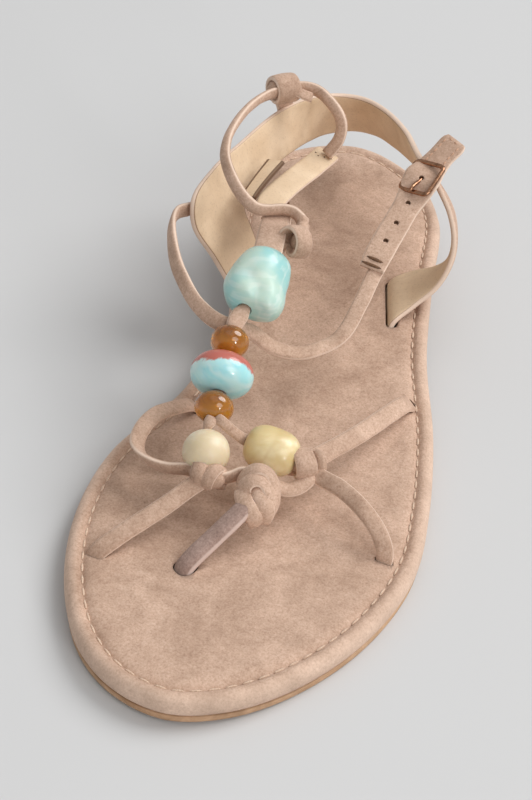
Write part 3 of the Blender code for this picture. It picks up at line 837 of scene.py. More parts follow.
def carve(piece: bpy.types.Object, cutters: Sequence[bmesh.types.BMesh]) -> None:
    """Cut meshes out of a piece, whose second finish goes on the walls of the cuts.

    Args:
        piece: the piece to cut.
        cutters: closed meshes in metres, which are freed.
    """
    helpers = []
    for cutter in cutters:
        for face in cutter.faces:
            face.smooth = True
            face.material_index = 1
        data = bpy.data.meshes.new("cutter")
        cutter.to_mesh(data)
        cutter.free()
        helper = bpy.data.objects.new("cutter", data)
        bpy.context.scene.collection.objects.link(helper)
        cut = piece.modifiers.new("cut", "BOOLEAN")
        cut.operation = "DIFFERENCE"
        cut.solver = "EXACT"
        cut.object = helper
        helpers.append(helper)
    bpy.context.view_layer.update()
    shaped = bpy.data.meshes.new_from_object(piece.evaluated_get(bpy.context.evaluated_depsgraph_get()))
    piece.modifiers.clear()
    plain, piece.data = piece.data, shaped
    shaped.name = piece.name
    bpy.data.meshes.remove(plain)
    for helper in helpers:
        bpy.data.meshes.remove(helper.data)


def punch(place: Vector, axis: Vector, diameter: float, depth: float = 6.0) -> bmesh.types.BMesh:
    """Round punch that cuts a hole.

    Args:
        place: middle of the hole in millimetres.
        axis: direction of the hole.
        diameter: width of the hole in millimetres.
        depth: length of the punch in millimetres.

    Returns:
        The punch in metres.
    """
    mesh = bmesh.new()
    turn = UPRIGHT.rotation_difference(axis).to_matrix().to_4x4()
    bmesh.ops.create_cone(
        mesh, cap_ends=True, segments=16, radius1=diameter / 2 * MM, radius2=diameter / 2 * MM, depth=depth * MM,
        matrix=Matrix.Translation(place * MM) @ turn,
    )
    return mesh


def add_stitch(mesh: bmesh.types.BMesh, place: Vector, along: Vector, length: float, thickness: float) -> None:
    """Lay one rounded stitch.

    Args:
        mesh: mesh that takes the stitch, in metres.
        place: middle of the stitch in millimetres.
        along: direction of the thread.
        length: length of the stitch in millimetres.
        thickness: thickness of the thread in millimetres.
    """
    turn = Vector((1, 0, 0)).rotation_difference(along).to_matrix().to_4x4()
    size = Matrix.Diagonal((length / 2 * MM, thickness / 2 * MM, thickness / 2 * MM, 1.0))
    bmesh.ops.create_uvsphere(
        mesh, u_segments=8, v_segments=6, radius=1.0, matrix=Matrix.Translation(place * MM) @ turn @ size,
    )


# Unevenness of a hand-cut lace: its size, and the length of one swell in millimetres
LEAN_PLAY, LEAN_SWELL = 2.5, 9.0
WIDTH_PLAY, WIDTH_SWELL = 0.035, 6.0
DEPTH_PLAY, DEPTH_SWELL = 0.05, 5.0
SIDE_PLAY, SIDE_SWELL = 0.14, 7.0


@dataclass(frozen=True)
class Lace:
    """Strip or cord along a route of x, y, z and lean, with its own width and depth where rows give them."""

    rows: Sequence[Row]
    width: float = 4.6
    depth: float = 1.9
    facing: Facing = Facing.UPRIGHT
    spacing: float = 1.0
    flat: int = 5
    edge: int = 3
    crown: float = 0.1
    rough: float = 1.0
    seed: float = 1.0

    def sections(self, margin: float = 0.0) -> list[Section]:
        """Sections along the route.

        Args:
            margin: growth on every side in millimetres, for a cutter.

        Returns:
            The sections from start to end.
        """
        path = smooth_rows(self.rows, max(4, round(route_length(self.rows) / self.spacing) + 1))
        middle = Vector(path[:, :3].mean(axis=0))
        found = []
        for step, (row, along) in enumerate(zip(path, directions(path[:, :3]))):
            place = Vector(row[:3])
            run = step * self.spacing
            toward = {Facing.UPRIGHT: UPRIGHT, Facing.VIEWER: VIEW_OUT}.get(self.facing, place - middle)
            face = (toward - along * along.dot(toward)).normalized()
            if self.facing is not Facing.OUTWARD:
                lean = row[3] + LEAN_PLAY * self.rough * wobble(run, self.seed, LEAN_SWELL)
                face = Matrix.Rotation(math.radians(lean), 3, along) @ face
            side = along.cross(face)
            width = row[4] if len(row) > 4 else self.width
            width *= 1 + WIDTH_PLAY * self.rough * wobble(run, self.seed + 1, WIDTH_SWELL)
            depth = row[5] if len(row) > 5 else self.depth
            depth *= 1 + DEPTH_PLAY * self.rough * wobble(run, self.seed + 2, DEPTH_SWELL)
            place = place + side * SIDE_PLAY * self.rough * wobble(run, self.seed + 3, SIDE_SWELL)
            found.append(Section(place, side, face, width + 2 * margin, depth + 2 * margin))
        return found

    def skin(self, margin: float = 0.0) -> Skin:
        """Closed skin of the lace, grown by a margin on every side."""
        return Skin.through(self.sections(margin), self.flat, self.edge, self.crown)

    def solid(self, margin: float = 0.0) -> bmesh.types.BMesh:
        """Closed mesh of the lace in metres, grown by a margin on every side."""
        return self.skin(margin).solid()


def from_view(centre: Row, rows: Sequence[Row]) -> list[Row]:
    """Rows of a route from places seen in the photograph.

    Args:
        centre: place from which the rows are measured.
        rows: distance to the right, upwards and towards the viewer, with any further columns.

    Returns:
        The rows with x, y and z in their first columns.
    """
    placed = []
    for right, up, out, *rest in rows:
        place = Vector(centre) + VIEW_RIGHT * right + VIEW_UP * up + VIEW_OUT * out
        placed.append((*place, *rest))
    return placed


@dataclass(frozen=True)
class Turn:
    """One pass of a lace round a knot's axis."""

    shift: float
    radius: float
    start: float
    sweep: float
    rise: float
    width: float = 4.6
    depth: float = 1.9
    tuck: float = 0.8


@dataclass(frozen=True)
class Knot:
    """Lace wound and tucked round an axis, over a rounded core."""

    name: str
    centre: Place
    axis: Place
    turns: tuple[Turn, ...]
    core: tuple[float, float]
    node: str
    finish: Finish = SUEDE
    spacing: float = 0.7
    tuck_rate: float = 5.0
    crown: float = 0.22

    def frame(self) -> tuple[Vector, Vector, Vector]:
        """Directions of the knot.

        Returns:
            Its axis, its upper direction and its side.
        """
        axis = Vector(self.axis).normalized()
        upper = (UPRIGHT - axis * axis.dot(UPRIGHT)).normalized()
        return axis, upper, axis.cross(upper)

    def build(self) -> None:
        """Model the turns and the core."""
        axis, upper, side = self.frame()
        for number, turn in enumerate(self.turns):
            count = max(10, round(math.radians(abs(turn.sweep)) * turn.radius / self.spacing))
            places, outwards = [], []
            for step in range(count + 1):
                share = step / count
                angle = math.radians(turn.start + turn.sweep * share)
                outward = upper * math.cos(angle) + side * math.sin(angle)
                dive = turn.tuck * max(0.0, 1 - self.tuck_rate * min(share, 1 - share)) ** 2
                climb = turn.shift + turn.rise * (share - 0.5)
                places.append(Vector(self.centre) + axis * climb + outward * (turn.radius - dive))
                outwards.append(outward)
            sections = []
            for place, along, outward in zip(places, directions(np.array(places)), outwards):
                face = (outward - along * along.dot(outward)).normalized()
                sections.append(Section(place, along.cross(face), face, turn.width, turn.depth))
            mesh = Skin.through(sections, flat=5, edge=3, crown=self.crown).solid()
            add_piece(f"{self.name}_turn_{number + 1}", mesh, [self.finish], Slot.SUEDE, [self.node])
        length, diameter = self.core
        mesh = bmesh.new()
        bmesh.ops.create_uvsphere(mesh, u_segments=24, v_segments=14, radius=0.5 * MM)
        bmesh.ops.scale(mesh, vec=(diameter, diameter, length), verts=mesh.verts)
        turn_to = UPRIGHT.rotation_difference(axis).to_matrix()
        bmesh.ops.rotate(mesh, cent=(0, 0, 0), matrix=turn_to, verts=mesh.verts)
        bmesh.ops.translate(mesh, vec=Vector(self.centre) * MM, verts=mesh.verts)
        add_piece(f"{self.name}_core", mesh, [self.finish], Slot.SUEDE, [self.node])


# Sole: lengths are measured from the back of the heel
SOLE_LENGTH = 250.0
HEEL_LIFT = 7.5
HEEL_SEAT_END = 62.0
BALL_START = 158.0
BALL_END = 226.0
TOE_SPRING = 1.2
OUTSOLE_THICKNESS = 2.2


def tread_height(y: float) -> float:
    """Height of the outsole's underside at a place along the sole.

    Args:
        y: place along the sole in millimetres.

    Returns:
        The height in millimetres.
    """
    from_heel = SOLE_LENGTH / 2 - y
    arch = HEEL_LIFT * (1 - eased(HEEL_SEAT_END, BALL_START, from_heel))
    spring = max(0.0, (from_heel - BALL_END) / (SOLE_LENGTH - BALL_END))
    return arch + TOE_SPRING * spring**2


@dataclass
class SoleOutline:
    """Outline of the sole as two edges from heel to toe."""

    table: tuple[Row, ...] = (
        (12.0, -28.2, 16.3), (35.0, -35.1, 28.3), (70.0, -32.4, 31.4), (105.0, -25.6, 35.2), (135.0, -30.8, 41.9),
        (165.0, -43.2, 45.3), (190.0, -45.6, 44.9), (215.0, -41.2, 36.1), (235.0, -31.6, 21.6), (246.0, -19.4, 7.6),
    )
    heel_tip: float = -5.4
    toe_tip: float = -5.6
    steps: int = 1601
    edges: dict[Side, np.ndarray] = field(default_factory=dict)
    ways: dict[Side, np.ndarray] = field(default_factory=dict)

    def __post_init__(self) -> None:
        """Work out the dense edges."""
        middle = SOLE_LENGTH / 2
        medial = [(edge, middle - station, 0.0) for station, edge, _ in self.table]
        lateral = [(edge, middle - station, 0.0) for station, _, edge in self.table]
        rows = [(self.heel_tip, middle, 0.0)] + medial + [(self.toe_tip, -middle, 0.0)] + lateral[::-1]
        loop = smooth_rows(rows, self.steps, closed=True)
        tip = int(np.argmin(loop[:, 1]))
        self.edges = {Side.MEDIAL: loop[: tip + 1], Side.LATERAL: loop[tip:][::-1]}
        self.ways = {side: np.array(directions(edge)) for side, edge in self.edges.items()}

    def place(self, side: Side, from_heel: float, inset: float) -> tuple[float, float]:
        """Place on an edge, moved inwards.

        Args:
            side: edge of the sole.
            from_heel: distance from the heel's back.
            inset: distance inwards from the edge.

        Returns:
            x and y in millimetres.
        """
        edge = self.edges[side]
        index = int(np.clip(np.searchsorted(SOLE_LENGTH / 2 - edge[:, 1], from_heel), 1, len(edge) - 1))
        span = max(edge[index - 1, 1] - edge[index, 1], 1e-9)
        share = float(np.clip((edge[index - 1, 1] - (SOLE_LENGTH / 2 - from_heel)) / span, 0.0, 1.0))
        spot = edge[index - 1] * (1 - share) + edge[index] * share
        along = self.ways[side][index - 1] * (1 - share) + self.ways[side][index] * share
        inward = np.array((-along[1], along[0])) * (1.0 if side is Side.MEDIAL else -1.0)
        inward = inward / np.linalg.norm(inward)
        return spot[0] + inward[0] * inset, spot[1] + inward[1] * inset

    def ring(self, stations: Sequence[float], inset: float, straight: bool = False) -> list[tuple[float, float]]:
        """Ring round the sole, by the medial side to the toe and back.

        Args:
            stations: distances from the heel.
            inset: distance inwards from the edge.
            straight: whether the front is cut straight across.

        Returns:
            x and y of each corner.
        """
        out = [self.place(Side.MEDIAL, station, inset) for station in stations]
        back = [self.place(Side.LATERAL, station, inset) for station in stations]
        return out + (back[:0:-1] if straight else back[-2:0:-1])


OUTLINE = SoleOutline()


def cosine_stations(last: float, count: int, both_ends: bool) -> list[float]:
    """Distances from the heel, closer together at the round ends.

    Args:
        last: distance of the last station.
        count: number of steps.
        both_ends: whether the far end is round too.

    Returns:
        The distances in millimetres.
    """
    sweep = math.pi if both_ends else math.pi / 2
    return [last * (1 - math.cos(sweep * step / count)) / (1 - math.cos(sweep)) for step in range(count + 1)]


# Routes of the laces: x, y, z and lean in degrees, then width and depth where they vary along the lace
MEDIAL_LOOP = (
    (0.6, -57.0, 22.0, -90), (-3.6, -55.4, 21.0, -100), (-6.8, -56.4, 19.8, -104), (-9.8, -57.4, 19.3, -100),
    (-12.6, -57.2, 19.5, -92), (-15.6, -56.7, 19.5, -96), (-18.6, -55.8, 19.0, -102), (-24.0, -55.6, 18.0, -108),
    (-29.4, -54.2, 18.0, -118), (-33.1, -50.8, 18.5, -142), (-34.2, -44.3, 18.5, -160), (-32.6, -36.3, 18.0, -164),
    (-29.0, -28.9, 15.6, -158), (-25.9, -20.0, 10.2, -152), (-24.8, -16.4, 5.4, -160),
)
MEDIAL_FRONT_LEG = (
    (-11.6, -55.6, 19.0, -20), (-14.6, -59.8, 18.5, -22), (-21.9, -67.9, 15.0, -24), (-31.1, -77.2, 10.6, -22),
    (-34.9, -81.2, 8.0, -18), (-36.4, -83.0, 5.0, -10),
)
LATERAL_ARM = (
    (2.2, -58.5, 20.3, 0), (4.9, -54.9, 18.2, 8), (7.9, -53.8, 16.8, 14), (11.0, -51.6, 16.8, 14),
    (12.9, -48.2, 18.2, 8), (11.6, -45.6, 19.8, 0),
)
LATERAL_REAR_LEG = (
    (11.6, -45.2, 19.8, 36), (21.8, -27.6, 17.2, 34), (29.0, -11.9, 14.4, 34), (32.2, -4.0, 12.0, 34),
    (33.4, -0.4, 9.0, 32), (33.8, 1.4, 5.2, 28),
)
LATERAL_FRONT_LEG = (
    (12.0, -45.8, 18.8, 34), (16.0, -48.2, 18.4, 36), (21.4, -51.4, 19.0, 34), (28.1, -56.0, 17.8, 30),
    (33.6, -59.5, 14.0, 26), (36.2, -62.2, 10.2, 18), (36.6, -63.8, 5.0, 10),
)
INSTEP_LACE = (
    (-40.7, 30.4, 41.2, 85), (-43.2, 26.8, 41.8, 85), (-43.6, 22.2, 41.8, 78), (-42.0, 15.1, 41.0, 70),
    (-38.1, 5.5, 39.5, 62), (-32.7, -3.2, 38.0, 58), (-26.7, -10.2, 36.8, 52), (-20.8, -14.0, 36.4, 42),
    (-17.0, -13.8, 35.6, 36), (-12.1, -10.9, 32.6, 32), (-6.5, -9.7, 28.0, 28), (0.5, -6.6, 25.0, 18),
    (7.0, -0.3, 24.0, 8), (11.0, 5.4, 25.0, 6), (13.9, 16.8, 28.8, 6), (15.5, 24.6, 32.6, 10), (16.4, 28.8, 33.8, 10),
)
BILLET = (
    (14.9, 26.2, 34.5, 10, 7.4, 1.2), (15.6, 29.4, 36.2, 11, 8.0, 1.7), (17.1, 35.2, 38.8, 12, 8.2, 1.9),
    (19.0, 41.8, 41.6, 12, 8.2, 1.9), (20.6, 47.4, 43.9, 12, 8.2, 1.9), (21.95, 51.6, 45.9, 10, 9.6, 1.9),
    (23.5, 55.8, 49.5, 8, 11.2, 2.2), (25.2, 60.6, 50.2, 8, 9.4, 1.9), (27.4, 64.8, 52.2, 10, 8.2, 1.9),
    (30.4, 69.1, 54.9, 12, 8.2, 1.9), (31.0, 69.9, 55.4, 12, 7.0, 1.7),
)
TOE_POST = (
    (-13.0, -80.8, 4.4, 0), (-12.3, -79.9, 7.6, 0), (-10.5, -77.7, 9.9, 0), (-6.6, -72.9, 13.2, 0),
    (-1.4, -66.2, 17.6, 0), (1.4, -62.4, 19.6, 0),
)
MEDIAL_CORD = (
    (-12.4, -57.4, 19.5, -6), (-16.2, -46.2, 24.2, -3), (-15.9, -46.25, 26.3, 15), (-14.8, -45.3, 28.2, 20),
    (-15.0, -43.35, 27.0, 20),
)
LATERAL_CORD = (
    (11.2, -45.8, 20.4, -45, 3.5, 3.3), (1.8, -44.8, 21.6, -45, 3.3, 3.0), (-5.4, -44.1, 22.5, -45, 3.2, 2.4),
    (-8.3, -44.7, 24.7, -45, 3.0, 1.9), (-11.0, -44.9, 27.0, -45, 3.0, 1.9), (-12.8, -44.7, 28.3, -45, 3.0, 1.9),
    (-13.9, -43.0, 27.0, -45, 2.6, 1.8),
)
TOE_KNOT_CENTRE = (2.0, -61.8, 20.5)
# Strands of the toe knot from its centre: right, up and towards the viewer, and lean
TOE_KNOT_STRANDS = {
    "toe_knot_arch": (
        (-3.6, 2.2, -2.2, -40), (-3.2, 4.2, -1.6, -48), (-1.8, 5.9, -1.0, -52), (0.2, 6.6, -0.6, -55),
        (2.6, 5.6, -0.6, -55), (4.1, 3.2, -0.6, -55), (4.5, 0.3, -0.8, -55), (4.3, -2.2, -1.2, -55),
        (3.2, -4.8, -1.8, -55), (1.6, -6.6, -3.0, -50),
    ),
    "toe_knot_inner_arch": (
        (-3.6, 0.6, -0.6, -40), (-3.4, 2.3, 0.4, -40), (-2.2, 3.5, 0.9, -40), (-0.4, 3.9, 1.1, -40),
        (1.4, 3.1, 1.1, -40), (2.7, 1.2, 1.0, -40), (3.3, -1.4, 0.6, -40), (2.9, -4.0, -0.2, -40),
        (1.7, -6.2, -1.6, -35),
    ),
    "toe_knot_lump": (
        (-1.8, 1.6, -0.6, -10), (-0.2, 0.9, 1.2, -10), (1.2, -1.2, 1.7, -12), (1.9, -3.4, 1.4, -14),
        (1.8, -5.4, 0.2, -14), (1.0, -6.8, -1.6, -14),
    ),
    "toe_knot_fold": (
        (-4.0, 1.2, -0.6, 16), (-3.9, -1.0, 0.9, 16), (-2.7, -3.5, 1.7, 16), (-1.3, -5.8, 1.1, 16),
        (-0.1, -7.4, -1.0, 14),
    ),
}
COLUMN_CORD = (
    (-15.2, -43.2, 26.4, 0, 3.2, 2.4), (-15.72, -30.4, 31.7, 0, 3.2, 2.4), (-16.2, -18.0, 36.9, 0, 3.4, 2.2),
    (-16.0, -15.6, 38.2, 20, 4.8, 1.8), (-15.2, -12.2, 39.4, 15, 4.8, 1.8), (-14.6, -9.8, 39.8, 0, 3.4, 2.2),
    (-13.5, 0.2, 41.3, 0, 3.2, 2.4), (-12.45, 10.8, 42.9, 0, 3.4, 2.4), (-13.2, 13.2, 43.0, 0, 4.0, 2.0),
)
POST_LACE = Lace(TOE_POST, width=5.2, depth=4.4, flat=3, edge=9, crown=0.0, seed=11.0)
# Front and rear edges of the heel band, from the lateral leg round the heel to the medial leg
HEEL_BAND = (
    ((22.4, 28.6, 10.4), (18.6, 48.6, 12.0)), ((22.8, 29.4, 13.6), (19.2, 49.6, 15.4)),
    ((28.2, 35.4, 17.6), (25.0, 52.0, 18.4)), ((33.7, 39.4, 23.0), (31.2, 51.6, 21.6)),
    ((36.3, 42.8, 30.0), (35.4, 51.6, 25.6)), ((36.3, 46.0, 36.0), (36.0, 52.6, 31.6)),
    ((33.6, 50.6, 42.0), (34.2, 57.6, 37.0)), ((29.6, 55.4, 46.0), (30.4, 64.0, 39.6)),
    ((25.3, 61.5, 48.2), (24.6, 73.6, 39.6)), ((20.6, 69.6, 48.2), (18.6, 83.6, 37.2)),
    ((14.2, 84.5, 47.5), (10.4, 98.2, 33.0)), ((5.7, 96.8, 46.5), (2.2, 109.4, 29.6)),
    ((-2.5, 103.5, 45.5), (-6.6, 113.6, 27.2)), ((-10.5, 103.1, 45.6), (-13.6, 108.0, 27.8)),
    ((-18.4, 95.6, 47.2), (-17.6, 96.6, 30.6)), ((-25.8, 80.6, 48.8), (-21.4, 81.6, 33.6)),
    ((-32.3, 58.7, 49.5), (-25.0, 63.6, 36.4)), ((-36.9, 42.0, 49.2), (-28.2, 50.6, 36.2)),
    ((-39.6, 29.0, 46.0), (-27.8, 46.8, 33.4)), ((-38.4, 25.8, 38.6), (-25.6, 46.8, 28.0)),
    ((-31.6, 25.2, 28.8), (-23.4, 46.6, 22.2)), ((-24.6, 23.8, 18.6), (-21.2, 45.0, 17.6)),
    ((-21.4, 23.2, 13.0), (-20.4, 44.2, 14.6)), ((-20.8, 23.0, 9.6), (-20.2, 44.0, 11.4)),
)
BAND_THICKNESS = 2.0


def band_sections(
    edges: Sequence[tuple[Row, Row]], count: int, thickness: float, growth: float,
) -> list[Section]:
    """Sections of a band between its front and rear edges.

    Args:
        edges: places of the two edges along the band.
        count: number of sections.
        thickness: thickness of the band.
        growth: width added in all.

    Returns:
        The sections from start to end.
    """
    path = smooth_rows([tuple(upper) + tuple(lower) for upper, lower in edges], count)
    middles = (path[:, :3] + path[:, 3:]) / 2
    found = []
    for row, middle, along in zip(path, middles, directions(middles)):
        across = Vector(row[:3] - row[3:])
        side = across.normalized()
        face = along.cross(side).normalized()
        found.append(Section(Vector(middle), side, face, across.length + growth, thickness))
    return found


@dataclass(frozen=True)
class Dish:
    """Shallow hollow that the foot presses into the footbed."""

    x: float
    y: float
    across: float
    along: float
    depth: float

    def depth_at(self, x: float, y: float) -> float:
        """Depth of the hollow at a place in millimetres."""
        return self.depth * math.exp(-((x - self.x) / self.across) ** 2 - ((y - self.y) / self.along) ** 2)


@dataclass
class Sole:
    """Outsole, heel block and the padded footbed with its slots and stitches.

    A profile's rows are the inset from the outline and the height. A swell's rows are its period, its layer of the
    noise and its height.
    """

    stations: int = 120
    outsole_profile: tuple[Row, ...] = ((1.3, 0.0), (0.75, 0.12), (0.5, 0.5), (0.5, 1.5), (0.75, 1.85), (1.2, 1.9))
    heel_breast: float = 60.0
    heel_stations: int = 60
    heel_profile: tuple[Row, ...] = (
        (3.6, 0.0), (3.1, 0.15), (2.9, 0.5), (2.75, 1.7), (3.0, 1.85), (2.7, 2.0), (2.35, 4.4), (1.95, 6.9),
        (2.2, 7.2),
    )
    rim_profile: tuple[Row, ...] = (
        (1.6, 0.0), (0.55, 0.35), (0.12, 1.2), (0.0, 2.3), (0.08, 3.4), (0.5, 4.5), (1.2, 5.3), (2.2, 5.78),
        (3.1, 5.72), (3.8, 5.35), (4.3, 4.75), (4.6, 4.45), (4.95, 4.65), (5.5, 5.05), (6.6, 5.34), (8.6, 5.5),
    )
    # Share of the pale edge colour on each ring of the rim, carried in the across mark: a painted highlight on the
    # rim
    rim_highlight: tuple[float, ...] = (0.0, 0.885, 0.915, 0.922, 0.924, 0.924, 0.92, 0.91, 0.895)
    puff: float = 0.12
    puff_period: float = 7.0
    dishes: tuple[Dish, ...] = (Dish(-3.0, 82.0, 20.0, 34.0, 0.55), Dish(-2.0, -58.0, 28.0, 30.0, 0.4))
    swells: tuple[Row, ...] = ((26.0, 0.4, 0.22), (9.0, 2.1, 0.07))
    net_pitch: float = 3.6
    net_reach: float = 50.0
    slot_margin: float = 0.3
    slot_spacing: float = 0.8
    band_margin: float = 0.8
    band_growth: float = 0.8
    band_steps: int = 6
    stitch_stations: int = 400
    stitch_thinning: int = 4
    stitch_inset: float = 4.6
    stitch_height: float = 4.72
    stitch_length: float = 3.3
    stitch_pitch: float = 4.3
    stitch_thickness: float = 0.7

    def build(self) -> None:
        """Model every piece of the sole."""
        self.build_outsole()
        self.build_heel()
        self.build_footbed()
        self.build_stitches()

    def build_outsole(self) -> None:
        """Model the thin sole sheet with its eased edges."""
        stations = cosine_stations(SOLE_LENGTH, self.stations, both_ends=True)
        skin = Skin()
        for inset, height in self.outsole_profile:
            corners = OUTLINE.ring(stations, inset)
            skin.add_ring([(Vector((x, y, tread_height(y) + height)), 0.0, 0.0) for x, y in corners])
        skin.cap()
        add_piece("outsole_sheet", skin.solid(), [TAN_SOLE], Slot.OUTSOLE, ["outsole"])

    def build_heel(self) -> None:
        """Model the heel stack with a seam above its top piece."""
        stations = cosine_stations(self.heel_breast, self.heel_stations, both_ends=False)
        skin = Skin()
        for inset, height in self.heel_profile:
            corners = OUTLINE.ring(stations, inset, straight=True)
            skin.add_ring([(Vector((x, y, height)), 0.0, 0.0) for x, y in corners])
        skin.cap()
        add_piece("heel_stack", skin.solid(), [HEEL_STACK], Slot.HEEL, ["heel_block"])

    def surface(self, x: float, y: float, height: float) -> Vector:
        """Place on the footbed's top with the foot's hollows and the unevenness of padding.

        Args:
            x: place across the sole in millimetres.
            y: place along the sole.
            height: height above the footbed's underside where nothing presses on it.

        Returns:
            The place in millimetres.
        """
        level = tread_height(y) + OUTSOLE_THICKNESS + height
        for dish in self.dishes:
            level -= dish.depth_at(x, y)
        swell = 0.0
        for period, layer, size in self.swells:
            swell += noise.noise(Vector((x / period, y / period, layer))) * size
        return Vector((x, y, level + swell))

    def build_footbed(self) -> None:
        stations = cosine_stations(SOLE_LENGTH, self.stations, both_ends=True)
        skin = Skin()
        # The rim's rings carry a painted highlight in the suede's pale edge colour
        for (inset, height), wear_and_highlight in zip_longest(self.rim_profile, self.rim_highlight, fillvalue=0.0):
            ring = []
            for x, y in OUTLINE.ring(stations, inset):
                puff = self.puff * noise.noise(Vector((x / self.puff_period, y / self.puff_period, height)))
                ring.append((Vector((x, y, tread_height(y) + OUTSOLE_THICKNESS + height + puff)), wear_and_highlight, 0.0))
            skin.add_ring(ring)
        skin.cap(last=False)
        self.fill_top(skin.mesh, skin.rings[-1])
        piece = add_piece("footbed_cover", skin.solid(), [SUEDE, SLOT_SHADE], Slot.SUEDE, ["footbed"])
        carve(piece, self.slot_cutters())

    def fill_top(self, mesh: bmesh.types.BMesh, edges: list[bmesh.types.BMEdge]) -> None:
        """Fill the rim's inner ring, cut the fill into a net and give it the foot's dish.

        Args:
            mesh: mesh of the footbed in metres.
            edges: the ring to fill.
        """
        ring = {corner for edge in edges for corner in edge.verts}
        for face in bmesh.ops.contextual_create(mesh, geom=edges)["faces"]:
            face.material_index = 1
        for axis, reach in ((Vector((0, 1, 0)), SOLE_LENGTH / 2), (Vector((1, 0, 0)), self.net_reach)):
            for place in np.arange(-reach + self.net_pitch / 3, reach, self.net_pitch):
                faces = [face for face in mesh.faces if face.material_index == 1]
                geometry = {item for face in faces for item in (*face.verts, *face.edges)}
                bmesh.ops.bisect_plane(
                    mesh, geom=faces + list(geometry), dist=SAME_PLACE, plane_co=axis * float(place) * MM,
                    plane_no=axis,
                )
        top = {corner for face in mesh.faces if face.material_index == 1 for corner in face.verts}
        rim = {corner for corner in top if any(face.material_index == 0 for face in corner.link_faces)}
        for corner in top - rim - ring:
            x, y = corner.co.x / MM, corner.co.y / MM
            corner.co.z = self.surface(x, y, self.rim_profile[-1][1]).z * MM

    def slot_cutters(self) -> list[bmesh.types.BMesh]:
        """Meshes that cut the slots in which the laces and the heel band stand.

        Returns:
            One closed mesh for each slot.
        """
        laces = [Lace(rows) for rows in (MEDIAL_LOOP, MEDIAL_FRONT_LEG, LATERAL_REAR_LEG, LATERAL_FRONT_LEG)]
        laces.append(replace(POST_LACE, rows=TOE_POST[::-1]))
        cutters = []
        for lace in laces:
            foot = replace(lace, rows=lace.rows[-3:], rough=0.0, spacing=self.slot_spacing)
            cutters.append(foot.solid(self.slot_margin))
        thickness = BAND_THICKNESS + 2 * self.band_margin
        for rows in (HEEL_BAND[:2], HEEL_BAND[:-3:-1]):
            sections = band_sections(rows, self.band_steps, thickness, self.band_growth)
            cutters.append(Skin.through(sections, flat=6, edge=3, crown=0.0).solid())
        return cutters

    def build_stitches(self) -> None:
        """Lay the running stitches in the rim's groove."""
        stations = cosine_stations(SOLE_LENGTH, self.stitch_stations, both_ends=True)
        ring = np.array([(x, y, 0.0) for x, y in OUTLINE.ring(stations, self.stitch_inset)])
        length = np.linalg.norm(np.diff(np.vstack([ring, ring[:1]]), axis=0), axis=1).sum()
        count = round(length / self.stitch_pitch)
        path = smooth_rows(ring[:: self.stitch_thinning], count * 2, closed=True)
        mesh = bmesh.new()
        for number in range(count):
            spot = path[number * 2]
            along = Vector(path[(number * 2 + 1) % len(path)] - path[number * 2 - 1]).normalized()
            height = tread_height(spot[1]) + OUTSOLE_THICKNESS + self.stitch_height
            place = Vector((spot[0], spot[1], height))
            add_stitch(mesh, place, along, self.stitch_length, self.stitch_thickness)
        add_piece("rim_stitches", mesh, [PALE_THREAD], Slot.SUEDE, ["footbed"])


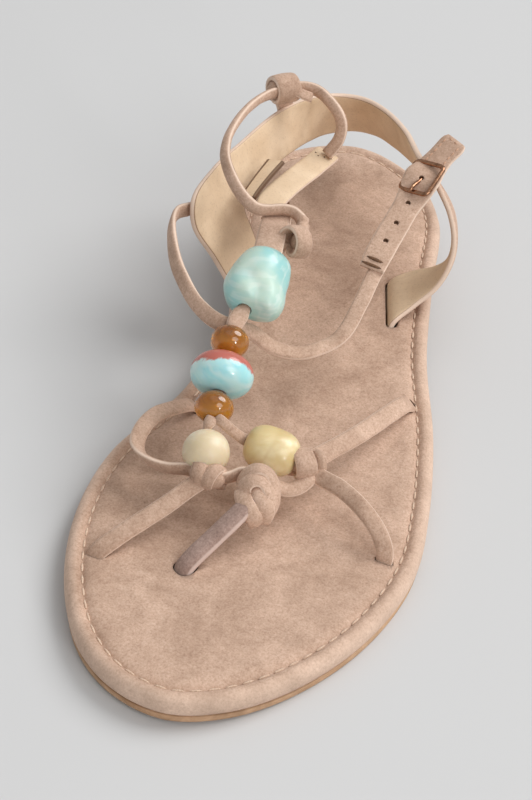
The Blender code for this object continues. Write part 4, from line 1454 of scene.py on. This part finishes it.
@dataclass
class Upper:
    """Toe post, knots, laces, bead cords and billet over the foot.

    A sewn stitch has its section's number, its share of the width and its length.
    """

    node: str = "upper_straps"
    billet_holes: tuple[float, ...] = (35.0, 41.6, 48.2, 55.6)
    hole_diameter: float = 1.5
    sewn_stitches: tuple[tuple[int, float, float], ...] = ((1, -0.06, 6.4), (3, -0.02, 5.2))
    sewn_thread: float = 1.1
    tip_sections: tuple[int, int] = (-12, -2)
    tip_rows: tuple[float, float] = (-0.3, 0.3)
    tip_ends: tuple[float, float] = (-0.15, 0.08)
    tip_lengths: tuple[float, float] = (1.6, 1.5)
    tip_thread: float = 0.45
    tip_sink: float = 0.05
    toe_core_depth: float = 2.2

    def build(self) -> None:
        """Model every lace and knot of the upper."""
        laces = {
            "medial_loop": Lace(MEDIAL_LOOP, seed=1.0),
            "medial_front_leg": Lace(MEDIAL_FRONT_LEG, width=5.0, seed=2.0),
            "lateral_arm": Lace(LATERAL_ARM, depth=2.6, crown=0.2, seed=3.0),
            "lateral_rear_leg": Lace(LATERAL_REAR_LEG, width=5.2, seed=4.0),
            "lateral_front_leg": Lace(LATERAL_FRONT_LEG, seed=5.0),
            "instep_lace": Lace(INSTEP_LACE, seed=6.0),
            "medial_bead_cord": Lace(MEDIAL_CORD, width=3.4, depth=1.6, seed=8.0),
            "lateral_bead_cord": Lace(LATERAL_CORD, width=3.0, depth=1.8, seed=9.0),
            "column_cord": Lace(COLUMN_CORD, width=3.4, depth=2.2, seed=10.0),
        }
        for name, lace in laces.items():
            add_piece(name, lace.solid(), [SUEDE], Slot.SUEDE, [self.node])
        for number, (name, rows) in enumerate(TOE_KNOT_STRANDS.items()):
            routed = from_view(TOE_KNOT_CENTRE, rows)
            strand = Lace(routed, depth=2.1, facing=Facing.VIEWER, spacing=0.6, crown=0.3, seed=12.0 + number)
            add_piece(name, strand.solid(), [SUEDE], Slot.SUEDE, [self.node])
        add_piece("toe_post", POST_LACE.solid(), [POST_SUEDE], Slot.SUEDE, [self.node])
        self.build_billet()
        for knot in self.knots():
            knot.build()

    def build_billet(self) -> None:
        """Model the flat buckle strap with its holes, its sewn end and the stitches round its tip."""
        strap = Lace(BILLET, width=8.2, flat=7, edge=4, seed=7.0, rough=0.4)
        sections = strap.sections()
        piece = add_piece("billet", strap.solid(), [SUEDE, SLOT_SHADE], Slot.SUEDE, [self.node])
        spots = [min(sections, key=lambda found, at=hole: abs(found.centre.y - at)) for hole in self.billet_holes]
        carve(piece, [punch(spot.centre, spot.face, self.hole_diameter) for spot in spots])
        sewn = bmesh.new()
        for number, share, length in self.sewn_stitches:
            section = sections[number]
            add_stitch(sewn, section.on_face(share), section.side, length, self.sewn_thread)
        add_piece("billet_sewn_end", sewn, [BROWN_THREAD], Slot.SUEDE, [self.node])
        tip = bmesh.new()
        first_tip, last_tip = self.tip_sections
        long_stitch, cross_stitch = self.tip_lengths
        for share in self.tip_rows:
            line = [found.on_face(share, self.tip_sink) for found in sections[first_tip : last_tip + 1]]
            for first, second in zip(line[::2], line[1::2]):
                middle, along = (first + second) / 2, (second - first).normalized()
                add_stitch(tip, middle, along, long_stitch, self.tip_thread)
        for section in (sections[first_tip], sections[last_tip]):
            for share in self.tip_ends:
                add_stitch(tip, section.on_face(share, self.tip_sink), section.side, cross_stitch, self.tip_thread)
        add_piece("billet_tip_stitches", tip, [TIP_THREAD], Slot.SUEDE, [self.node])

    def knots(self) -> tuple[Knot, ...]:
        """Knots at the toe and at the two cream beads.

        Returns:
            The three knots.
        """
        toe_core = tuple(Vector(TOE_KNOT_CENTRE) - VIEW_OUT * self.toe_core_depth)
        medial_turns = (
            Turn(-2.0, 2.9, -180.0, 360.0, 3.0, 4.2, 2.2, 0.6), Turn(2.0, 2.8, -180.0, 360.0, -3.2, 4.0, 2.2, 0.6),
        )
        lateral_turns = (
            Turn(-1.6, 3.4, -180.0, 360.0, 2.8, 6.0, 2.2, 0.6), Turn(3.4, 2.7, -180.0, 360.0, 0.4, 2.8, 1.9, 0.5),
        )
        return (
            Knot("toe_knot", toe_core, tuple(VIEW_UP), (), (13.4, 7.6), self.node),
            Knot("medial_knot", (-12.7, -57.2, 19.6), (0.95, -0.25, -0.05), medial_turns, (10.4, 6.6), self.node),
            Knot("lateral_knot", (11.4, -45.4, 19.6), (0.86, 0.48, -0.1), lateral_turns, (9.0, 5.6), self.node),
        )


# Routes of the heel tab and the ankle strap; the flap starts at its roll and is given as the toe knot's strands are
TAB_NECK = ((-24.0, 87.2, 43.6, 78), (-24.5, 86.0, 48.6, 78), (-25.4, 84.0, 53.2, 78))
TAB_FLAP = ((2.6, -0.6, 1.0, -20), (4.8, -1.6, 1.6, -20), (6.4, -2.2, 1.4, -15), (8.6, -2.9, 0.6, -10))
ANKLE_RING = (
    (-6.6, 21.8, 41.8), (-5.8, 24.4, 44.0), (-6.6, 27.4, 45.4), (-9.6, 30.2, 46.5), (-12.9, 30.2, 46.8),
    (-17.0, 28.6, 46.8), (-20.6, 27.6, 47.5), (-24.7, 28.6, 50.0), (-28.7, 31.7, 53.0),
    (-32.3, 37.3, 56.0), (-33.5, 43.1, 58.0), (-33.2, 50.6, 59.0), (-31.5, 63.9, 58.5), (-28.2, 75.4, 57.0),
    (-24.0, 81.8, 55.8), (-19.6, 85.6, 55.8), (-15.2, 85.6, 55.6), (-10.0, 82.2, 54.5), (-6.3, 79.3, 52.0),
    (-4.9, 78.2, 48.5), (-5.4, 76.8, 44.5), (-8.2, 75.0, 40.0),
)
BACK_STRAP = (
    (-8.6, 78.4, 38.2, -12, 8.0, 1.9), (-11.6, 67.6, 39.2, -14, 8.0, 1.9), (-16.6, 49.6, 41.4, -14, 8.0, 1.9),
    (-18.6, 38.6, 42.6, -10, 8.0, 1.9), (-18.4, 34.6, 43.2, -5, 6.6, 1.7), (-17.4, 31.6, 44.2, 0, 4.6, 1.5),
)
STRAP_END = (
    (-25.1, 37.2, 43.4, -26), (-24.5, 41.0, 43.9, -24), (-23.1, 49.0, 44.3, -18), (-21.2, 58.4, 44.6, -10),
)
COLUMN_LOOP = (
    (-13.4, 11.5, 43.2), (-13.8, 16.5, 43.9), (-14.2, 22.0, 44.2), (-14.6, 28.0, 44.2), (-14.8, 31.8, 43.2),
    (-14.8, 32.2, 41.2), (-14.5, 28.6, 40.2), (-14.0, 22.5, 39.8), (-13.6, 15.5, 39.6),
)


@dataclass
class HeelBand:
    """Lined band round the back of the heel with its rolled tab."""

    stations: int = 200
    roll_centre: Place = (-24.7, 82.4, 56.1)
    roll_axis: Place = (0.74, 0.66, -0.04)
    roll_length: float = 8.2
    roll_diameter: float = 9.4
    roll_wall: float = 2.0
    core_stretch: float = 1.34
    core_room: float = 1.8
    node: str = "heel_band"

    def build(self) -> None:
        """Model the band, its tab and the roll that holds the ankle cord."""
        sections = band_sections(HEEL_BAND, self.stations, BAND_THICKNESS, 0.0)
        band = Skin.through(sections, flat=16, edge=4, crown=0.06)
        add_piece("heel_band_strip", band.solid(), [SUEDE, LINING], Slot.SUEDE, [self.node], band.lined(-1.0, 1))
        neck = Lace(TAB_NECK, width=6.4, seed=21.0)
        add_piece("tab_neck", neck.solid(), [SUEDE], Slot.SUEDE, [self.node])
        radius = (self.roll_diameter - self.roll_wall) / 2
        turn = Turn(0.0, radius, -170.0, 388.0, 0.6, width=self.roll_length, depth=self.roll_wall, tuck=0.5)
        core = (self.roll_length * self.core_stretch, self.roll_diameter - self.core_room)
        Knot("tab_roll", self.roll_centre, self.roll_axis, (turn,), core, self.node).build()
        rows = from_view(self.roll_centre, TAB_FLAP)
        flap = Lace(rows, width=3.4, depth=1.4, facing=Facing.VIEWER, spacing=0.6, seed=22.0)
        add_piece("tab_flap", flap.solid(), [SUEDE], Slot.SUEDE, [self.node])


@dataclass
class AnkleStrap:
    """Corded ring, lined back strap, free end and the loop tied to the bead column.

    A pinhole has its section's number and its share of the width.
    """

    node: str = "ankle_strap"
    pinholes: tuple[tuple[int, float], ...] = ((3, -0.3), (4, -0.08), (5, 0.14), (4, 0.32))
    pinhole_diameter: float = 0.6

    def build(self) -> None:
        """Model every lace of the ankle strap."""
        ring = Lace(ANKLE_RING, width=4.2, depth=2.6, facing=Facing.OUTWARD, crown=0.15, seed=31.0)
        add_piece("ankle_ring", ring.solid(), [SUEDE], Slot.SUEDE, [self.node])
        loop = Lace(COLUMN_LOOP, width=8.2, facing=Facing.OUTWARD, seed=32.0)
        add_piece("column_tab", loop.solid(), [SUEDE], Slot.SUEDE, [self.node])
        back = Lace(BACK_STRAP, width=6.0, depth=1.5, flat=9, seed=33.0, rough=0.5)
        piece = self.add_lined("back_strap", back, [SUEDE, SLOT_SHADE, LINING])
        sections = back.sections()
        carve(piece, [
            punch(sections[number].inside(share), sections[number].face, self.pinhole_diameter)
            for number, share in self.pinholes
        ])
        self.add_lined("strap_end", replace(back, rows=STRAP_END, seed=34.0), [INKED_AND_SHADED_EDGE, SLOT_SHADE, STRAP_LINING])
        turn = Turn(0.0, 3.9, -160.0, 372.0, 2.6, width=5.6, depth=1.9, tuck=1.4)
        Knot("side_curl", (-7.0, 20.0, 43.6), (0.72, 0.62, -0.3), (turn,), (1.6, 4.4), self.node).build()

    def add_lined(self, name: str, lace: Lace, finishes: Sequence[Finish]) -> bpy.types.Object:
        """Model a flat strap whose upper side is lined.

        Args:
            name: name of the piece.
            lace: route and section of the strap.
            finishes: finishes of the strap, of the walls of its holes and of its lining.

        Returns:
            The new object.
        """
        skin = lace.skin()
        return add_piece(name, skin.solid(), finishes, Slot.SUEDE, [self.node], skin.lined(1.0, 2))


@dataclass(frozen=True)
class Bead:
    """Polished bead threaded on a cord.

    A lump has its place to the right and up, its height and its spread, all in the photograph's directions.
    """

    name: str
    centre: Place
    axis: Place
    length: float
    diameter: float
    bore: float
    finish: StoneFinish
    slot: Slot
    square: float = 2.0
    lumps: tuple[Row, ...] = ()
    rows: int = 30
    sides: int = 56
    lip: float = 0.5
    lump_run: float = 3.0
    lump_back: float = 0.35
    lump_rate: float = 1.5
    dent: float = 0.7
    dent_period: float = 6.0
    dent_seed: Place = (3.0, 1.0, 5.0)

    def build(self) -> None:
        """Turn the bead's profile round its axis and set it on the cord."""
        mesh = bmesh.new()
        inner = self.bore / 2 + self.lip
        radius = self.diameter / 2
        limit = (1 - (inner / radius) ** self.square) ** (1 / self.square)
        half = self.length / 2 / limit
        corners = []
        for step in range(self.rows + 1):
            lift = limit * math.sin(math.pi / 2 * (2 * step / self.rows - 1))
            reach = radius * (1 - abs(lift) ** self.square) ** (1 / self.square)
            corners.append(mesh.verts.new((reach * MM, 0.0, half * lift * MM)))
        edges = [mesh.edges.new(pair) for pair in zip(corners, corners[1:])]
        edges.append(mesh.edges.new((corners[-1], corners[0])))
        bmesh.ops.spin(
            mesh, geom=corners + edges, cent=(0, 0, 0), axis=(0, 0, 1), angle=2 * math.pi, steps=self.sides,
            use_merge=True,
        )
        bmesh.ops.remove_doubles(mesh, verts=mesh.verts, dist=SAME_PLACE)
        level = mesh.verts.layers.float.new("lift")
        for corner in mesh.verts:
            corner[level] = corner.co.z / (half * MM)
        bmesh.ops.recalc_face_normals(mesh, faces=mesh.faces)
        turn = UPRIGHT.rotation_difference(Vector(self.axis)).to_matrix().to_4x4()
        bmesh.ops.transform(mesh, matrix=Matrix.Translation(Vector(self.centre) * MM) @ turn, verts=mesh.verts)
        for corner in mesh.verts:
            corner.co += self.swell(corner.co / MM, inner) * MM
        bmesh.ops.recalc_face_normals(mesh, faces=mesh.faces)
        add_piece(f"{self.name}_stone", mesh, [self.finish], self.slot, [self.name])

    def swell(self, place: Vector, inner: float) -> Vector:
        """Move of a corner for a bead of uneven shape.

        Args:
            place: corner of the turned bead in millimetres.
            inner: radius of the bore.

        Returns:
            The move in millimetres, away from the bead's middle and axis.
        """
        axis = Vector(self.axis).normalized()
        arm = place - Vector(self.centre)
        outward = arm - axis * axis.dot(arm)
        share = min(1.0, max(0.0, (outward.length - inner) / self.lump_run))
        growth = 0.0
        for right, up, height, spread in self.lumps:
            middle = VIEW_RIGHT * right + VIEW_UP * up
            flat = VIEW_RIGHT * VIEW_RIGHT.dot(arm) + VIEW_UP * VIEW_UP.dot(arm)
            near = max(0.0, arm.normalized().dot(VIEW_OUT) + self.lump_back)
            bulge = height * math.exp(-(flat - middle).length_squared / (2 * spread * spread))
            growth += bulge * min(1.0, near * self.lump_rate)
        if self.lumps:
            growth += self.dent * noise.noise(place / self.dent_period + Vector(self.dent_seed))
        return (outward.normalized() + arm.normalized()).normalized() * growth * share


@dataclass
class BeadFront:
    """The beads over the forefoot and instep."""

    beads: tuple[Bead, ...] = (
        Bead(
            "bead_cream_medial", (-14.5, -51.3, 22.0), (-0.30, 0.88, 0.37), 11.6, 12.6, 2.6, MILK_STONE, Slot.CREAM,
            square=2.1,
        ),
        Bead(
            "bead_cream_lateral", (1.8, -44.9, 21.3), (-0.99, 0.08, 0.16), 14.6, 12.6, 2.6, CREAM_STONE, Slot.CREAM,
            square=2.7,
        ),
        Bead("bead_amber_lower", (-15.45, -39.7, 27.8), (-0.04, 0.92, 0.39), 8.0, 10.6, 3.2, AMBER_STONE, Slot.AMBER),
        Bead(
            "bead_banded", (-15.72, -30.4, 31.7), (-0.06, 0.92, 0.39), 11.4, 17.2, 3.2, BANDED_STONE, Slot.TURQUOISE,
            square=2.2,
        ),
        Bead("bead_amber_upper", (-16.1, -20.8, 35.7), (-0.04, 0.92, 0.39), 8.0, 10.6, 3.2, AMBER_STONE, Slot.AMBER),
        Bead(
            "bead_nugget", (-13.6, 0.2, 41.3), (0.10, 0.98, 0.15), 21.8, 16.4, 3.2, TURQUOISE_STONE, Slot.TURQUOISE,
            square=2.5,
            lumps=(
                (0.6, 6.8, 1.3, 3.4), (-5.7, -2.4, 0.9, 2.6), (3.4, -5.4, 1.6, 3.2), (5.2, 3.4, 0.7, 3.0),
                (-3.0, 2.0, -1.3, 1.8), (-0.5, -2.6, -1.2, 1.8), (-5.4, 4.6, 0.7, 2.4), (2.6, -9.0, 1.3, 2.4),
            ),
            rows=56,
            sides=96,
        ),
    )

    def build(self) -> None:
        """Model every bead."""
        for bead in self.beads:
            bead.build()


@dataclass(frozen=True)
class Buckle:
    """Square wire frame and its prong."""

    name: str
    centre: Place
    along: Place
    across: Place
    length: float = 12.6
    width: float = 11.0
    bar: float = 1.35
    bend: float = 1.6
    prong: float = 1.2
    tongue_root: float = 0.15
    tongue_tip: float = -1.2
    tongue_gap: float = 0.3
    tongue_sink: float = 0.4
    tongue_steps: int = 16
    tip_size: float = 0.35
    tip_rate: float = 1.6
    bend_steps: int = 8
    sides: int = 14

    def round_ring(self, centre: Vector, side: Vector, face: Vector, diameter: float) -> list[Corner]:
        """Corners of a round bar's section."""
        turns = [2 * math.pi * step / self.sides for step in range(self.sides)]
        return [(centre + (side * math.cos(t) + face * math.sin(t)) * diameter / 2, 0.0, 0.0) for t in turns]

    def build(self) -> None:
        """Model the frame and the prong."""
        centre = Vector(self.centre)
        along = Vector(self.along).normalized()
        across = Vector(self.across)
        across = (across - along * along.dot(across)).normalized()
        upward = across.cross(along).normalized()
        reach, breadth = (self.length - self.bar) / 2, (self.width - self.bar) / 2
        skin = Skin()
        for quarter, (across_sign, along_sign) in enumerate(((1, 1), (-1, 1), (-1, -1), (1, -1))):
            corner = across * across_sign * (breadth - self.bend) + along * along_sign * (reach - self.bend)
            for step in range(self.bend_steps + 1):
                turn = math.pi / 2 * (quarter + step / self.bend_steps)
                outward = across * math.cos(turn) + along * math.sin(turn)
                skin.add_ring(self.round_ring(centre + corner + outward * self.bend, outward, upward, self.bar))
        skin.close()
        add_piece(f"{self.name}_wire", skin.solid(), [COPPER], Slot.COPPER, [f"{self.name}_frame"])
        lift = (self.bar + self.prong) / 2 + self.tongue_gap
        skin = Skin()
        for step in range(self.tongue_steps + 1):
            share = self.tongue_root + (self.tongue_tip - self.tongue_root) * step / self.tongue_steps
            rise = eased(self.tongue_root, -1.0, share)
            size = self.prong * min(1.0, self.tip_size + self.tip_rate * math.sqrt(1 - step / self.tongue_steps))
            place = centre + upward * (lift * rise - self.tongue_sink * (1 - rise)) + along * reach * share
            skin.add_ring(self.round_ring(place, across, upward, size))
        skin.cap()
        add_piece(f"{self.name}_tongue", skin.solid(), [COPPER], Slot.COPPER, [f"{self.name}_prong"])


@dataclass
class Fastenings:
    """The two buckles."""

    buckles: tuple[Buckle, ...] = (
        Buckle("buckle", (23.4, 55.6, 49.7), (0.31, 0.86, 0.40), (0.94, -0.34, 0.18)),
        Buckle("ankle_buckle", (-18.8, 42.0, 39.5), (0.16, 0.98, -0.13), (-0.98, 0.16, 0.0), width=8.8),
    )

    def build(self) -> None:
        """Model both buckles."""
        for buckle in self.buckles:
            buckle.build()


@dataclass(frozen=True)
class Lamp:
    """Round soft light turned to the sandal, in metres and watts."""

    name: str
    place: Place
    power: float
    size: float

    def build(self) -> None:
        """Hang the light."""
        light = bpy.data.lights.new(self.name, "AREA")
        light.energy = self.power
        light.shape = "DISK"
        light.size = self.size
        lamp = bpy.data.objects.new(self.name, light)
        lamp.location = self.place
        lamp.rotation_euler = (-Vector(self.place)).to_track_quat("-Z", "Y").to_euler()
        bpy.context.scene.collection.objects.link(lamp)


@dataclass
class Studio:
    """Floor, lights and the camera at the photograph's angle."""

    floor_reach: float = 3.0
    lamps: tuple[Lamp, ...] = (
        Lamp("key_light", (2.2, 1.6, 3.0), 104.0, 2.8),
        Lamp("fill_light", (1.9, -1.8, 1.9), 25.0, 2.0),
        Lamp("top_light", (0.2, 0.2, 3.0), 8.0, 3.0),
        Lamp("front_softbox", (0.62, -0.75, 0.24), 1.1, 0.12),
    )
    air: float = 0.43
    eye: Place = (56.5, -391.6, 326.4)
    forward: Place = (-0.21783, 0.71643, -0.66278)
    aim: tuple[float, float] = (0.1017, 0.0331)
    sensor: float = 36.0
    focal_pixels: int = 801
    frame_pixels: int = 800
    zoom: float = 2.2

    def build(self) -> None:
        """Set up everything round the sandal."""
        self.build_floor()
        self.build_lights()
        self.build_camera()

    def build_floor(self) -> None:
        """Lay the pale floor."""
        mesh = bmesh.new()
        bmesh.ops.create_grid(mesh, x_segments=8, y_segments=8, size=self.floor_reach)
        data = bpy.data.meshes.new("studio_floor")
        mesh.to_mesh(data)
        mesh.free()
        floor = bpy.data.objects.new("studio_floor", data)
        data.materials.append(material_of(FloorFinish()))
        bpy.context.scene.collection.objects.link(floor)

    def build_lights(self) -> None:
        """Hang the soft lights and set the pale surroundings."""
        for lamp in self.lamps:
            lamp.build()
        world = bpy.data.worlds.new("studio_air")
        world.use_nodes = True
        background = world.node_tree.nodes["Background"]
        background.inputs["Color"].default_value = WHITE
        background.inputs["Strength"].default_value = self.air
        bpy.context.scene.world = world
        bpy.context.scene.view_settings.view_transform = "Standard"

    def build_camera(self) -> None:
        """Put the camera where the photograph was taken and turn it to the one sandal."""
        forward = Vector(self.forward) + VIEW_RIGHT * self.aim[0] + VIEW_UP * self.aim[1]
        forward.normalize()
        swing = Vector(self.forward).rotation_difference(forward).to_matrix()
        right, up = swing @ VIEW_RIGHT, swing @ VIEW_UP
        camera = bpy.data.cameras.new("photo_camera")
        camera.sensor_fit = "VERTICAL"
        camera.sensor_height = self.sensor
        camera.lens = self.sensor * self.focal_pixels / self.frame_pixels * self.zoom
        camera.clip_start = 0.01
        eye = bpy.data.objects.new("photo_camera", camera)
        turn = Matrix((right, up, -forward)).transposed().to_4x4()
        eye.matrix_world = Matrix.Translation(Vector(self.eye) * MM) @ turn
        bpy.context.scene.collection.objects.link(eye)
        bpy.context.scene.camera = eye


def main() -> None:
    """Build the studio and every sub-assembly of the sandal."""
    logging.basicConfig(level=logging.INFO, format="%(name)s: %(message)s")
    for part in (Studio(), Sole(), Upper(), HeelBand(), AnkleStrap(), BeadFront(), Fastenings()):
        LOG.info("building %s", type(part).__name__)
        part.build()


if __name__ == "__main__":
    main()
